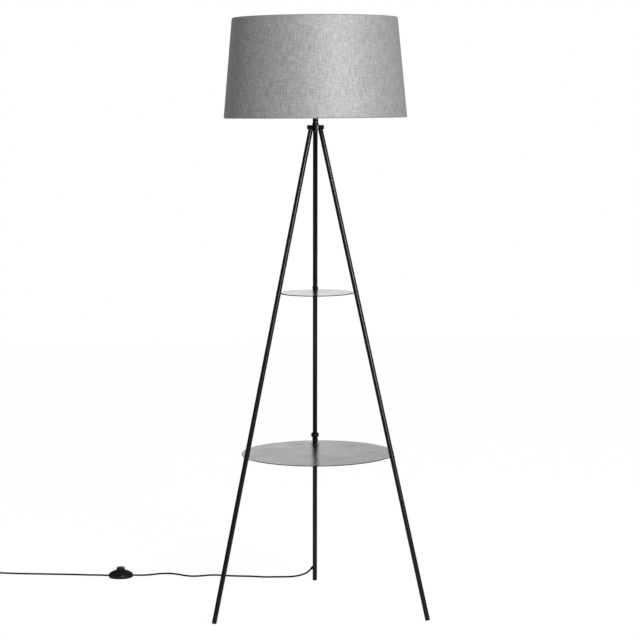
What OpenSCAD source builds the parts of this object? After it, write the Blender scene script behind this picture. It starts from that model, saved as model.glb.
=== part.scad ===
// Tripod floor lamp with two round shelves, a drum shade and a foot switch on its cord.
// Origin: on the floor under the lamp's axis. The rear leg stands towards +Y.

/* [Legs] */
// Height of the hub's underside above the floor
hub_z = 1223; // [1180:1:1260]
// Distance from the lamp's axis to where a leg's axis meets the floor
foot_radius = 308; // [296:1:320]
// Distance from the lamp's axis to a leg's axis at the hub's underside
hub_leg_radius = 14; // [13:0.5:15]
// Outer diameter of the leg tubes
leg_d = 12; // [11.6:0.1:12.6]
// Wall of the leg tubes
leg_wall = 1; // [0.8:0.1:1.2]
// Length of the studs and nipples in the leg joints
stud_len = 30; // [26:1:36]
// Diameter of the front legs' studs
front_stud_d = 6; // [5:0.5:7]
// Diameter of the rear leg's hollow nipples
rear_nipple_d = 8; // [7.6:0.1:8.4]
// Bore of the rear leg's hollow nipples
rear_nipple_bore = 5.4; // [5.2:0.1:5.8]
// Length of the bushes in the tube ends
bush_len = 16; // [12:1:20]
// Rounding of a foot's lower edge
foot_edge = 1.5; // [1:0.1:2.2]
// Depth of the flat that a foot's lowest edge stands on
foot_flat = 0.4; // [0.3:0.1:0.8]
// Length of a foot below its tube, along the leg
foot_len = 6; // [4:0.5:16]
// Length of a foot's plug inside its tube
foot_plug_len = 14; // [10:1:20]
// Diameter of the collar on the rear leg
rear_collar_d = 20.6; // [18:0.2:23]
// Height of the collar on the rear leg
rear_collar_h = 9; // [7:0.5:12]
// Distance along the leg from the lower shelf's ear to the collar's middle
rear_collar_lift = 9.6; // [8:0.1:17]

/* [Shelves] */
// Height of the lower shelf's top face
lower_shelf_z = 402.5; // [340:0.5:460]
// Gap from the lower shelf's edge to the legs' axes, at the height of its top face
lower_shelf_gap = 17.24; // [14:0.01:26]
// Height of the upper shelf's top face
upper_shelf_z = 812; // [770:0.5:850]
// Gap from the upper shelf's edge to the legs' axes, at the height of its top face
upper_shelf_gap = 20.3; // [15:0.1:28]
// Thickness of both shelves
shelf_t = 2; // [1.5:0.1:3]
// Width of a shelf's ears
ear_w = 14.4; // [13:0.1:16]

/* [Hub and stem] */
// Diameter of the hub
hub_d = 43; // [41:0.5:46]
// Height of the hub with its lid
hub_h = 10.4; // [10:0.1:12]
// Thickness of the hub's floor
hub_floor = 4; // [3.6:0.1:4.4]
// Thickness of the hub's side wall
hub_wall = 2.3; // [1.5:0.1:3]
// Thickness of the hub's lid
hub_lid_t = 1.6; // [1.2:0.1:2]
// Length of the hub's leg stubs below its underside
hub_stub_len = 6; // [4:0.5:8]
// Diameter of the domed nut under the hub
dome_nut_d = 12.4; // [12:0.1:13]
// Height of the domed nut under the hub
dome_nut_h = 8.2; // [7.4:0.1:10]
// Diameter of the threaded pipe through hub and stem
pipe_d = 10; // [9.6:0.1:10.4]
// Bore of the threaded pipe
pipe_bore = 7.8; // [7.2:0.1:8.2]
// Diameter of the collar on the hub
collar_d = 16.5; // [15:0.1:20]
// Height of the collar on the hub
collar_h = 5; // [4:0.1:7]
// Diameter of the stem
stem_d = 13.8; // [13:0.1:15]
// Wall of the stem
stem_wall = 1.2; // [0.8:0.1:1.4]
// Length of the stem from its collar to the lampholder
stem_len = 34; // [30:1:60]

/* [Shade] */
// Gap from the hub's top to the shade's lower edge
shade_gap = 17.6; // [10:0.1:26]
// Height of the shade
shade_h = 249; // [230:1:270]
// Diameter of the shade's top edge
shade_top_d = 414; // [400:1:430]
// Diameter of the shade's lower edge
shade_bottom_d = 460; // [440:1:480]
// Thickness of the shade's fabric
fabric_t = 1; // [0.8:0.1:1.4]
// Thickness of the shade's liner
liner_t = 0.6; // [0.4:0.1:1]
// Diameter of the shade's wires
shade_wire_d = 4; // [3:0.1:5]
// Diameter of the spider's arms
spider_arm_d = 4; // [3:0.1:5]
// Diameter of the spider's centre ring
spider_ring_d = 60; // [54:1:70]
// Thickness of the spider's centre ring
spider_ring_t = 2; // [1.5:0.1:3]

/* [Lampholder] */
// Diameter of the lampholder's cap
holder_d = 40; // [40:0.5:44]
// Wall of the lampholder's cap and body
holder_wall = 2; // [1.6:0.1:2.4]
// Height of the lampholder's cap
holder_cap_h = 24; // [22:0.5:30]
// Height of the lampholder's body above its shoulder
holder_body_h = 28; // [26:0.5:34]
// Diameter of the lampholder's body shoulder
holder_shoulder_d = 45; // [44:0.5:52]
// Height of the lampholder's body shoulder
holder_shoulder_h = 4; // [3:0.5:6]
// Thickness of the insert that carries the contacts
insert_t = 11.5; // [10:0.5:12]
// Height of the screw shell
shell_h = 20; // [16:0.5:24]
// Wall of the screw shell
shell_t = 0.5; // [0.4:0.1:0.8]
// Diameter of the shade ring's flange
shade_ring_d = 52; // [50:1:58]
// Height of the shade ring
shade_ring_h = 10; // [8:0.5:14]

/* [Bulb] */
// Diameter of the bulb's globe
globe_d = 60; // [56:1:66]
// Whole length of the bulb
bulb_len = 108; // [102:1:120]
// Diameter over the bulb's screw cap
screw_cap_d = 26.4; // [26:0.1:26.8]
// Height of the bulb's screw cap
screw_cap_h = 22; // [20:0.5:26]
// Pitch of the bulb's thread
thread_pitch = 3.63; // [3.4:0.01:3.8]
// Height of the bulb's housing
bulb_housing_h = 26; // [22:0.5:30]

/* [Cord] */
// Diameter of the cord
cord_d = 4.8; // [4.6:0.1:5]
// Height above the floor at which the cord leaves the rear leg
exit_z = 37; // [34:1:60]
// Angle at which the cord leaves the rear leg, from the leg's axis
exit_angle = 45; // [40:1:50]
// Radius of the cord's bend inside the rear leg
exit_bend = 20; // [18:0.5:24]
// Diameter of the grommet's head
grommet_d = 8.6; // [8:0.1:10]
// Length of cord from its way out of the leg's side to the grommet's tip
grommet_reach = 6; // [5:0.5:8]

/* [Foot switch] */
// Diameter of the switch
switch_d = 66; // [62:1:72]
// Height of the switch's cover at its crown
switch_h = 20.6; // [19.6:0.1:23]
// Height of the cover's upright rim
switch_rim_h = 6.2; // [5.6:0.1:7]
// Radius of the cover's shoulder, between its rim and its flatter crown
switch_shoulder_r = 5.5; // [4:0.1:7]
// Wall of the switch's cover
switch_wall = 2; // [1.5:0.1:2.4]
// Diameter of the push button
button_d = 22; // [20:0.5:24]
// Height of the button above the cover's crown
button_rise = 6.4; // [4:0.1:7]
// Travel of the button
button_travel = 3.5; // [2.5:0.1:3.6]
// Thickness of the switch's base plate
switch_base_t = 2; // [1.6:0.1:2.4]

/* [Plug] */
// Width of the plug's body
plug_w = 35.3; // [33:0.1:38]
// Thickness of the plug's body
plug_t = 13.7; // [13:0.1:15]
// Length of the plug's body
plug_len = 36; // [34:0.5:42]
// Length of the plug's strain relief
relief_len = 22; // [20:0.5:30]
// Diameter of the plug's pins
pin_d = 4; // [3.8:0.1:4.2]
// Length of the pins outside the body
pin_len = 19; // [18:0.1:20]
// Distance between the pins' axes
pin_spacing = 18.6; // [17.5:0.1:19.5]
// Length of the insulating sleeve at the root of each pin
pin_sleeve_len = 10; // [9:0.5:11]
// Diameter of that sleeve
pin_sleeve_d = 3.6; // [3.4:0.1:3.6]
// Diameter of a pin's core inside its sleeve and the plug
pin_core_d = 2.8; // [2.4:0.1:2.8]

/* [Hidden] */
$fn = 64;

// Clearance between parts that are pushed together
press_gap = 0.05;
// Clearance between parts that move against each other
moving_gap = 0.3;
// Clearance between the shade's cloth and the wires and the liner in it
cloth_gap = 0.15;
// Clearance round a cord
cord_gap = 0.1;
// Clearance round the studs and nipples in the shelves' ears
stud_hole_gap = 0.3;
// How far a cut reaches past the face that it opens
over = 1;

// Azimuths of the legs about the lamp's axis
REAR = 90;
LEFT = 210;
RIGHT = 330;

leg_r = leg_d / 2;
leg_bore_r = leg_r - leg_wall;
leg_slope = (foot_radius - hub_leg_radius) / hub_z;
leg_tilt = atan(leg_slope);
front_stud_r = front_stud_d / 2;
rear_nipple_r = rear_nipple_d / 2;
grub_r = 2;
// Distance from a shelf's edge in to the bend of its ears
ear_root = 1.5;

function along(z) = z / cos(leg_tilt);
function leg_rho(z) = foot_radius - z * leg_slope;
lower_shelf_d = 2 * (leg_rho(lower_shelf_z) - lower_shelf_gap);
upper_shelf_d = 2 * (leg_rho(upper_shelf_z) - upper_shelf_gap);
// Height of the point where a leg's axis passes through the middle of a shelf's ear
function joint_z(top, d) = let (bend_r = d / 2 - ear_root)
    (top - shelf_t / 2 + (foot_radius - bend_r) * leg_slope) / (1 + leg_slope * leg_slope);
// A point given in a leg's own frame, with z along the leg's axis, in the lamp's frame
function leg_point(az, p) = let (
        x = foot_radius + p[0] * cos(leg_tilt) - p[2] * sin(leg_tilt),
        z = p[0] * sin(leg_tilt) + p[2] * cos(leg_tilt))
    [x * cos(az) - p[1] * sin(az), x * sin(az) + p[1] * cos(az), z];

lower_joint_s = along(joint_z(lower_shelf_z, lower_shelf_d));
upper_joint_s = along(joint_z(upper_shelf_z, upper_shelf_d));
hub_s = along(hub_z);
stub_end_s = hub_s - hub_stub_len;
foot_ring_r = leg_r - foot_edge;
foot_end_s = (foot_ring_r * sin(leg_tilt) + foot_edge - foot_flat) / cos(leg_tilt) - foot_edge;
// How far a stud reaches into the hub's floor, past the hub's underside
stud_seat = 2.3;
stub_seat = 2;
hub_stud_s = hub_s + stud_seat - stud_len / 2;
collar_s = lower_joint_s + rear_collar_lift;

hub_top = hub_z + hub_h;
hub_cavity_z = hub_z + hub_floor;
hub_lid_z = hub_top - hub_lid_t;
pipe_r = pipe_d / 2;
pipe_bore_r = pipe_bore / 2;
// How far the pipe reaches into the domed nut and into the lampholder
pipe_in_nut = 3.5;
pipe_in_holder = 9;
stem_z = hub_top + collar_h;
holder_z = stem_z + stem_len;
holder_seam_z = holder_z + holder_cap_h;
holder_shoulder_z = holder_seam_z + holder_shoulder_h;
holder_r = holder_d / 2;
holder_bore_r = holder_r - holder_wall - 1.1;
holder_thread_r = holder_r - 0.1;
// How far the holder's body reaches down into its cap
holder_spigot = 6;
insert_z = holder_seam_z - holder_spigot;
insert_top = insert_z + insert_t;
shell_r = screw_cap_d / 2 + moving_gap;
contact_h = 3;
bulb_z = insert_top + contact_h + moving_gap;
bulb_cap_lift = 5;
bulb_cap_z = bulb_z + bulb_cap_lift;
bulb_housing_z = bulb_cap_z + screw_cap_h;
globe_r = globe_d / 2;
globe_z = bulb_z + bulb_len - globe_r;
bulb_tip_r = 4;
bulb_tip_h = 2.5;
bulb_tip_gap = 0.1;
// Terminals in the insert: distance from the axis, hole for a lead, and screw across it
terminal_x = 7;
terminal_hole_r = 1.3;
terminal_screw_r = 1.55;
terminal_screw_z = 4;

shade_z = hub_top + shade_gap;
shade_slope = (shade_bottom_d - shade_top_d) / 2 / shade_h;
wire_r = shade_wire_d / 2;
arm_r = spider_arm_d / 2;
hem_r = wire_r + cloth_gap + fabric_t;
wire_edge = hem_r + press_gap;
function skin_r(z) = shade_bottom_d / 2 - fabric_t - z * shade_slope;
function wire_ring_r(z) = skin_r(z) - (wire_r + cloth_gap) / cos(atan(shade_slope));
bottom_wire_r = wire_ring_r(wire_edge);
top_wire_r = wire_ring_r(shade_h - wire_edge);
spider_z = holder_shoulder_z + press_gap;

cord_r = cord_d / 2;
exit_s = along(exit_z);
exit_bend_s = exit_s + exit_bend * sin(exit_angle);
exit_side = exit_bend * (1 - cos(exit_angle));
grommet_neck_r = cord_r + 1.1;
// How far the cord's sheath reaches up into the hub
cord_in_hub = 1;
// The grommet's tip, in the rear leg's own frame
exit_tip = [0, exit_side + grommet_reach * sin(exit_angle), exit_s - grommet_reach * cos(exit_angle)];

switch_x = -530;
switch_y = 382.5;
switch_r = switch_d / 2;
// The cover's crown is an arc that runs on into its shoulder's arc, whose centre is at shoulder_x
shoulder_x = switch_r - switch_shoulder_r;
shoulder_rise = switch_h - switch_rim_h - switch_shoulder_r;
crown_r = (shoulder_x * shoulder_x / shoulder_rise + shoulder_rise) / 2 + switch_shoulder_r;
crown_centre_z = switch_h - crown_r;
function dome_z(r, inset) = crown_centre_z + sqrt(pow(crown_r - inset, 2) - r * r);
button_r = button_d / 2;
button_top = switch_h + button_rise;
button_flange_r = button_r + 1.5;
button_flange_t = 2;
button_flange_z = dome_z(button_flange_r, switch_wall) - button_flange_t - moving_gap;
button_wall = 1.8;
button_crown = 3;
button_skirt_z = switch_base_t + button_travel + 3;
switch_cord_z = 4;
switch_cord_end = 18;
// Screws that hold the base to the cover's bosses: distance from the middle, and sizes
switch_screw_ring = switch_r - switch_wall - 4.6;
switch_screw_r = 1.5;
switch_screw_len = 6;
switch_head_r = 2.6;
switch_head_t = 0.8;

plug_z = plug_t / 2;

// Route of the cord on the floor, from the grommet to the switch
route_to_switch = [
    leg_point(REAR, exit_tip),
    [-13.7, 301.7, 28.8], [-17.5, 304.2, 24.6], [-21.8, 307.4, 21], [-27.2, 311.6, 17.2],
    [-35, 317.6, 12.9], [-46.5, 325, 8.4], [-61.4, 332.6, 4.9], [-77.7, 338, 3.1], [-92.6, 341, 2.5],
    [-108, 341.9, 2.5], [-124, 341.7, 2.5], [-140, 343.2, 2.5], [-157, 348.2, 2.5], [-175, 353.2, 2.5],
    [-200, 356.8, 2.5], [-224, 361.1, 2.5], [-248, 368.2, 2.5], [-271, 374.6, 2.5], [-289, 374, 2.5],
    [-306, 368.8, 2.5], [-322, 364.9, 2.5], [-339, 366.4, 2.5], [-355.5, 375.2, 2.5],
    [-372, 389, 2.5], [-389, 398.9, 2.5], [-406, 403, 2.5], [-422, 401.6, 2.5], [-438.5, 395.4, 2.5],
    [-452, 389.6, 2.5], [-466, 386.2, 2.6], [-481, 384, 3.2], [-494, 382.8, 3.8],
    [-503, switch_y, switch_cord_z], [switch_x + switch_cord_end, switch_y, switch_cord_z]
];
// Route of the cord on the floor, from the switch to the coil
coil_x = -916;
coil_y = 410;
route_to_coil = [
    [switch_x - switch_cord_end, switch_y, switch_cord_z], [-557, switch_y, switch_cord_z],
    [-568, 383.6, 4.3], [-582, 387.6, 3.9], [-600, 393.4, 3.2], [-622, 399, 2.6], [-655, 405.8, 2.5],
    [-690, 411.2, 2.5], [-725, 416, 2.5], [-760, 420.6, 2.5], [-795, 425.8, 2.5], [-828, 431.4, 2.5],
    [-870, 438.8, 3]
];

// The coil: turns spiral in on the floor, climb, and spiral out again on top
coil_turns = 5.25;
coil_inner_r = 21;
coil_step = cord_d + 0.6;
coil_start_az = 82;
coil_low_z = cord_r + 1;
coil_rings = 24;
coil_sides = 6;
function coil_r(t) = coil_inner_r + coil_step * abs(t - coil_turns / 2);
function coil_climb(t) = min(1, max(0, 2 * (t - coil_turns / 2) + 0.5));
function coil_point(t) = let (a = coil_start_az + 360 * t, c = coil_climb(t))
    [coil_x + coil_r(t) * cos(a), coil_y + coil_r(t) * sin(a),
     coil_low_z + coil_step * c * c * (3 - 2 * c)];
function coil_way(t) = let (a = coil_start_az + 360 * t) [-sin(a), cos(a), 0];
coil_path = concat(
    [coil_point(0) - cord_d * coil_way(0)],
    [for (i = [0 : coil_turns * coil_rings]) coil_point(i / coil_rings)],
    [coil_point(coil_turns) + cord_d * coil_way(coil_turns)]);
coil_least_gap = min([for (i = [0 : len(coil_path) - 1])
    for (j = [i + coil_rings / 2 : 1 : len(coil_path) - 1]) norm(coil_path[i] - coil_path[j])]) - cord_d;
echo(coil_least_gap = coil_least_gap);

// Route of the cord's tail, from the coil to the plug
tail_end = [-955, 318, plug_z];
route_of_tail = [
    coil_path[len(coil_path) - 1], [-953.6, 402, 8.2], [-954.4, 392, 6.2], [-954.8, 382, 4],
    [-955, 371, 2.8], [-955, 360, 2.6], [-955, 349, 3.2], [-955, 338, 4.9], [-955, 328, 6.4], tail_end
];
relief_y = tail_end[1] - relief_len;
plug_front_y = relief_y - plug_len;
// How far a pin's core reaches into the plug
pin_seat = 8;
pin_r = pin_d / 2;
pin_core_r = pin_core_d / 2;

function unit(v) = v / norm(v);
// Points of a smooth curve through a route, with steps pieces between neighbours
function bent(route, steps) = let (n = len(route)) concat(
    [for (i = [0 : n - 2]) for (j = [0 : steps - 1]) let (
        a = route[max(i - 1, 0)], b = route[i], c = route[i + 1], d = route[min(i + 2, n - 1)],
        t = j / steps)
        0.5 * (2 * b + (c - a) * t + (2 * a - 5 * b + 4 * c - d) * t * t
            + (3 * b - a - 3 * c + d) * t * t * t)],
    [route[n - 1]]);

// A tube of one radius along a path, with its rings turned from the given side direction
module sweep(path, r, sides, side = [0, 0, 1]) {
    n = len(path);
    points = [for (i = [0 : n - 1]) let (
        way = unit(path[min(i + 1, n - 1)] - path[max(i - 1, 0)]),
        across = unit(cross(way, side)),
        up = cross(across, way))
        for (k = [0 : sides - 1])
            path[i] + r * (cos(360 * k / sides) * across + sin(360 * k / sides) * up)];
    walls = [for (i = [0 : n - 2]) for (k = [0 : sides - 1]) let (
        a = i * sides + k, b = i * sides + (k + 1) % sides)
        each [[a, b, b + sides], [a, b + sides, a + sides]]];
    first = [for (k = [1 : sides - 2]) [0, k + 1, k]];
    end = (n - 1) * sides;
    last = [for (k = [1 : sides - 2]) [end, end + k, end + k + 1]];
    polyhedron(points, concat(walls, first, last));
}

// Moves its children onto a leg's axis, with z along the axis, s above the floor point
module on_leg(az, s) {
    rotate([0, 0, az])
        translate([foot_radius, 0, 0])
            rotate([0, -leg_tilt, 0])
                translate([0, 0, s])
                    children();
}

// A hole of radius r, from below z = 0 to past h
module hole(r, h) {
    translate([0, 0, -over]) cylinder(r = r, h = h + 2 * over);
}

module ring(outer_r, inner_r, h) {
    difference() {
        cylinder(r = outer_r, h = h);
        hole(inner_r, h);
    }
}

// A straight rod between two points
module rod(from, to, r) {
    way = to - from;
    translate(from)
        rotate([0, acos(way[2] / norm(way)), atan2(way[1], way[0])])
            cylinder(r = r, h = norm(way));
}

// Hub and stem

module leg_stub(az) {
    on_leg(az, stub_end_s) cylinder(r = leg_r, h = hub_stub_len + stub_seat);
}

module hub_body() {
    edge = 0.6;
    color("#1b1b1c") difference() {
        union() {
            translate([0, 0, hub_z]) rotate_extrude() polygon([
                [0, 0], [hub_d / 2 - edge, 0], [hub_d / 2, edge],
                [hub_d / 2, hub_h - hub_lid_t], [0, hub_h - hub_lid_t]]);
            for (az = [REAR, LEFT, RIGHT]) leg_stub(az);
        }
        translate([0, 0, hub_cavity_z]) cylinder(r = hub_d / 2 - hub_wall, h = hub_h);
        translate([0, 0, hub_z]) hole(pipe_r + press_gap, hub_h);
        for (az = [LEFT, RIGHT]) on_leg(az, stub_end_s - over)
            cylinder(r = front_stud_r + press_gap, h = hub_stub_len + stud_seat + over + press_gap);
        on_leg(REAR, stub_end_s) hole(rear_nipple_r + press_gap, hub_stub_len + hub_floor + over);
    }
}

module hub_lid() {
    edge = 0.6;
    color("#1b1b1c") translate([0, 0, hub_lid_z]) difference() {
        rotate_extrude() polygon([
            [0, 0], [hub_d / 2, 0], [hub_d / 2, hub_lid_t - edge],
            [hub_d / 2 - edge, hub_lid_t], [0, hub_lid_t]]);
        hole(pipe_r + press_gap, hub_lid_t);
    }
}

module hub_dome_nut() {
    rim_ledge = 0.3;
    rim_h = 2.6;
    dome_r = dome_nut_d / 2 - rim_ledge;
    color("#2a2a2b") translate([0, 0, hub_z - dome_nut_h]) rotate_extrude() difference() {
        union() {
            intersection() {
                translate([0, dome_r]) circle(r = dome_r);
                square([dome_r, dome_nut_h]);
            }
            translate([0, dome_nut_h - rim_h]) square([dome_nut_d / 2, rim_h]);
        }
        translate([0, dome_nut_h - pipe_in_nut - moving_gap]) square([pipe_r + press_gap, dome_nut_h]);
    }
}

module stem_pipe() {
    // The slot lets the two leads in from the rear leg
    slot_w = 5.2;
    slot_gap = 0.2;
    length = hub_h + collar_h + stem_len + pipe_in_nut + pipe_in_holder;
    color("#b9b7ae") difference() {
        translate([0, 0, hub_z - pipe_in_nut]) ring(pipe_r, pipe_bore_r, length);
        translate([-slot_w / 2, 0, hub_cavity_z + slot_gap])
            cube([slot_w, pipe_d, hub_h - hub_floor - hub_lid_t - 2 * slot_gap]);
    }
}

module stem_collar() {
    edge = 0.8;
    r = collar_d / 2;
    color("#1b1b1c") translate([0, 0, hub_top]) difference() {
        rotate_extrude() polygon([
            [0, 0], [r, 0], [r, collar_h - edge], [r - edge, collar_h], [0, collar_h]]);
        hole(pipe_r + press_gap, collar_h);
    }
}

module stem_tube() {
    color("#1b1b1c") translate([0, 0, stem_z]) ring(stem_d / 2, stem_d / 2 - stem_wall, stem_len);
}

// Legs

module leg_section(az, from_s, to_s) {
    color("#1b1b1c") on_leg(az, from_s) ring(leg_r, leg_bore_r, to_s - from_s);
}

module leg_top(az) {
    leg_section(az, upper_joint_s + shelf_t / 2, stub_end_s);
}

module leg_middle(az) {
    leg_section(az, lower_joint_s + shelf_t / 2, upper_joint_s - shelf_t / 2);
}

module leg_bottom(az) {
    leg_section(az, foot_end_s + foot_len, lower_joint_s - shelf_t / 2);
}

module left_leg_top() { leg_top(LEFT); }
module left_leg_middle() { leg_middle(LEFT); }
module left_leg_bottom() { leg_bottom(LEFT); }
module right_leg_top() { leg_top(RIGHT); }
module right_leg_middle() { leg_middle(RIGHT); }
module right_leg_bottom() { leg_bottom(RIGHT); }
module rear_leg_top() { leg_top(REAR); }
module rear_leg_middle() { leg_middle(REAR); }

// The cord's way out of the rear leg, as a straight hole through the tube's left side
module exit_hole(r, h) {
    back = leg_wall + 3;
    on_leg(REAR, exit_s) translate([0, exit_side, 0]) rotate([exit_angle - 180, 0, 0])
        translate([0, 0, -back]) cylinder(r = r, h = h + back);
}

module rear_leg_bottom() {
    difference() {
        leg_bottom(REAR);
        exit_hole(grommet_neck_r + press_gap, grommet_reach);
    }
}

// Where studs or nipples sit along a leg, as the middle of each
stud_places = [lower_joint_s, upper_joint_s, hub_stud_s];

module front_leg_studs() {
    color("#b9b7ae") for (az = [LEFT, RIGHT], s = stud_places)
        on_leg(az, s - stud_len / 2) cylinder(r = front_stud_r, h = stud_len);
}

module rear_leg_nipples() {
    color("#b9b7ae") for (s = stud_places)
        on_leg(REAR, s - stud_len / 2) ring(rear_nipple_r, rear_nipple_bore / 2, stud_len);
}

// Where bushes start along a leg
bush_places = [
    lower_joint_s - shelf_t / 2 - bush_len, lower_joint_s + shelf_t / 2,
    upper_joint_s - shelf_t / 2 - bush_len, upper_joint_s + shelf_t / 2, stub_end_s - bush_len
];

module leg_bushes(az, bore_r) {
    color("#b9b7ae") for (s = bush_places)
        on_leg(az, s) ring(leg_bore_r - press_gap, bore_r + press_gap, bush_len);
}

module front_leg_bushes() {
    leg_bushes(LEFT, front_stud_r);
    leg_bushes(RIGHT, front_stud_r);
}

module rear_leg_bushes() { leg_bushes(REAR, rear_nipple_r); }

module foot(az) {
    color("#161616") intersection() {
        on_leg(az, foot_end_s) union() {
            rotate_extrude() union() {
                square([foot_ring_r, foot_len]);
                translate([0, foot_edge]) square([leg_r, foot_len - foot_edge]);
                translate([foot_ring_r, foot_edge]) circle(r = foot_edge);
            }
            cylinder(r = leg_bore_r - press_gap, h = foot_len + foot_plug_len);
        }
        translate([-2 * foot_radius, -2 * foot_radius, 0])
            cube([4 * foot_radius, 4 * foot_radius, foot_radius]);
    }
}

module left_foot() { foot(LEFT); }
module right_foot() { foot(RIGHT); }
module rear_foot() { foot(REAR); }

module rear_leg_collar() {
    edge = 2;
    r = rear_collar_d / 2;
    h = rear_collar_h / 2;
    color("#1b1b1c") on_leg(REAR, collar_s) difference() {
        rotate_extrude() union() {
            translate([0, -h]) square([r - edge, 2 * h]);
            translate([0, edge - h]) square([r, 2 * (h - edge)]);
            for (side = [-1, 1]) translate([r - edge, side * (h - edge)]) circle(r = edge);
        }
        translate([0, 0, -h]) hole(leg_r + press_gap, rear_collar_h);
        rotate([0, 90, 0]) cylinder(r = grub_r + press_gap, h = rear_collar_d);
    }
}

module collar_grub_screw() {
    socket_d = 2.2;
    socket_depth = 1.4;
    sunk = 0.6;
    length = (rear_collar_d - leg_d) / 2 - sunk;
    color("#8c8a84") on_leg(REAR, collar_s) rotate([0, 90, 0])
        translate([0, 0, leg_r + press_gap]) difference() {
            cylinder(r = grub_r, h = length);
            translate([0, 0, length - socket_depth])
                cylinder(d = socket_d, h = socket_depth + over, $fn = 6);
        }
}

// Shelves

module shelf(top, d, joint_s) {
    bend_r = d / 2 - ear_root;
    reach = (leg_rho(joint_s * cos(leg_tilt)) - bend_r) / cos(leg_tilt);
    color("#202022") difference() {
        union() {
            translate([0, 0, top - shelf_t]) cylinder(r = d / 2, h = shelf_t, $fn = 128);
            for (az = [REAR, LEFT, RIGHT]) {
                on_leg(az, joint_s - shelf_t / 2) {
                    cylinder(r = ear_w / 2, h = shelf_t);
                    translate([-reach, -ear_w / 2, 0]) cube([reach, ear_w, shelf_t]);
                }
                rotate([0, 0, az]) translate([bend_r, 0, top - shelf_t / 2])
                    rotate([90, 0, 0]) cylinder(r = shelf_t / 2, h = ear_w, center = true);
            }
        }
        for (az = [LEFT, RIGHT]) on_leg(az, joint_s - 2 * shelf_t)
            cylinder(r = front_stud_r + stud_hole_gap, h = 4 * shelf_t);
        on_leg(REAR, joint_s - 2 * shelf_t) cylinder(r = rear_nipple_r + stud_hole_gap, h = 4 * shelf_t);
    }
}

module upper_shelf() { shelf(upper_shelf_z, upper_shelf_d, upper_joint_s); }
module lower_shelf() { shelf(lower_shelf_z, lower_shelf_d, lower_joint_s); }

// Wiring inside the lamp

module cord_in_leg() {
    thinner = 0.02;
    inside = 0.5;
    top_s = hub_s + cord_in_hub;
    color("#141414") on_leg(REAR, 0) {
        translate([0, 0, exit_bend_s]) cylinder(r = cord_r, h = top_s - exit_bend_s);
        translate([0, exit_bend, exit_bend_s]) rotate([90, 0, 90]) rotate([0, 0, 180])
            rotate_extrude(angle = exit_angle) translate([exit_bend, 0]) circle(r = cord_r);
        // Thinner by a hair, so that it starts wholly inside the bend
        translate([0, exit_side, exit_s]) rotate([exit_angle - 180, 0, 0])
            translate([0, 0, -inside]) cylinder(r = cord_r - thinner, h = grommet_reach + inside);
    }
}

module lamp_leads() {
    lead_r = 1;
    lead_x = 1.15;
    mid_z = (hub_cavity_z + hub_lid_z) / 2;
    for (side = [-1, 1]) {
        route = [
            leg_point(REAR, [0, side * lead_x, hub_s + cord_in_hub + press_gap]),
            leg_point(REAR, [0, side * lead_x, along(hub_cavity_z)]),
            [-side * lead_x, hub_leg_radius - 3, mid_z - 0.3], [-side * lead_x, pipe_r + 3, mid_z + 0.4],
            [-side * lead_x, pipe_r - 0.4, mid_z + 0.6], [-side * lead_x, pipe_r / 2, mid_z + 1.6],
            [-side * lead_x, 1, hub_lid_z + 1.6], [-side * lead_x, 0, hub_top + 4],
            [-side * lead_x, 0, stem_z + stem_len / 3], [-side * lead_x, 0, holder_z],
            [-side * lead_x, 0, holder_z + pipe_in_holder - 1],
            [-side * terminal_x * 0.5, 0, holder_z + pipe_in_holder + 3],
            [-side * terminal_x, 0, insert_z - 2], [-side * terminal_x, 0, insert_z + 5]
        ];
        color(side < 0 ? "#6b4a2f" : "#2f5fae") sweep(bent(route, 2), lead_r, 8, [1, 0, 0]);
    }
}

module cord_grommet() {
    head_h = grommet_reach - 1;
    color("#141414") difference() {
        union() {
            exit_hole(grommet_neck_r, grommet_reach);
            difference() {
                on_leg(REAR, exit_s) translate([0, exit_side, 0]) rotate([exit_angle - 180, 0, 0])
                    cylinder(r1 = grommet_d / 2, r2 = cord_r + 0.7, h = head_h);
                on_leg(REAR, 0) cylinder(r = leg_r + press_gap, h = 2 * exit_bend_s);
            }
        }
        on_leg(REAR, 0) cylinder(r = leg_bore_r - 0.4, h = 2 * exit_bend_s);
        exit_hole(cord_r + cord_gap, 2 * grommet_reach);
        on_leg(REAR, 0) translate([0, exit_bend, exit_bend_s]) rotate([90, 0, 90]) rotate([0, 0, 180])
            rotate_extrude(angle = exit_angle) translate([exit_bend, 0]) circle(r = cord_r + 2 * cord_gap);
    }
}

// Lampholder

module holder_cap() {
    neck_r = pipe_r + 3;
    base_r = 12;
    floor_t = 3;
    inner_r = holder_r - holder_wall;
    color("#181818") translate([0, 0, holder_z]) difference() {
        union() {
            difference() {
                rotate_extrude() polygon([
                    [0, 0], [base_r, 0], [holder_r, holder_cap_h / 2], [holder_r, holder_cap_h],
                    [0, holder_cap_h]]);
                rotate_extrude() polygon([
                    [0, floor_t], [base_r - 1, floor_t], [inner_r, holder_cap_h / 2 + 1],
                    [inner_r, holder_cap_h + over], [0, holder_cap_h + over]]);
            }
            cylinder(r = neck_r, h = pipe_in_holder);
        }
        hole(pipe_r + press_gap, pipe_in_holder);
    }
}

module holder_body() {
    spigot_r = holder_r - holder_wall - press_gap;
    color("#181818") translate([0, 0, insert_z]) difference() {
        rotate_extrude() polygon([
            [0, 0], [spigot_r, 0], [spigot_r, holder_spigot], [holder_shoulder_d / 2, holder_spigot],
            [holder_shoulder_d / 2, holder_spigot + holder_shoulder_h],
            [holder_thread_r, holder_spigot + holder_shoulder_h],
            [holder_thread_r, holder_spigot + holder_shoulder_h + holder_body_h],
            [0, holder_spigot + holder_shoulder_h + holder_body_h]]);
        hole(holder_bore_r, holder_spigot + holder_shoulder_h + holder_body_h);
    }
}

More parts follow.
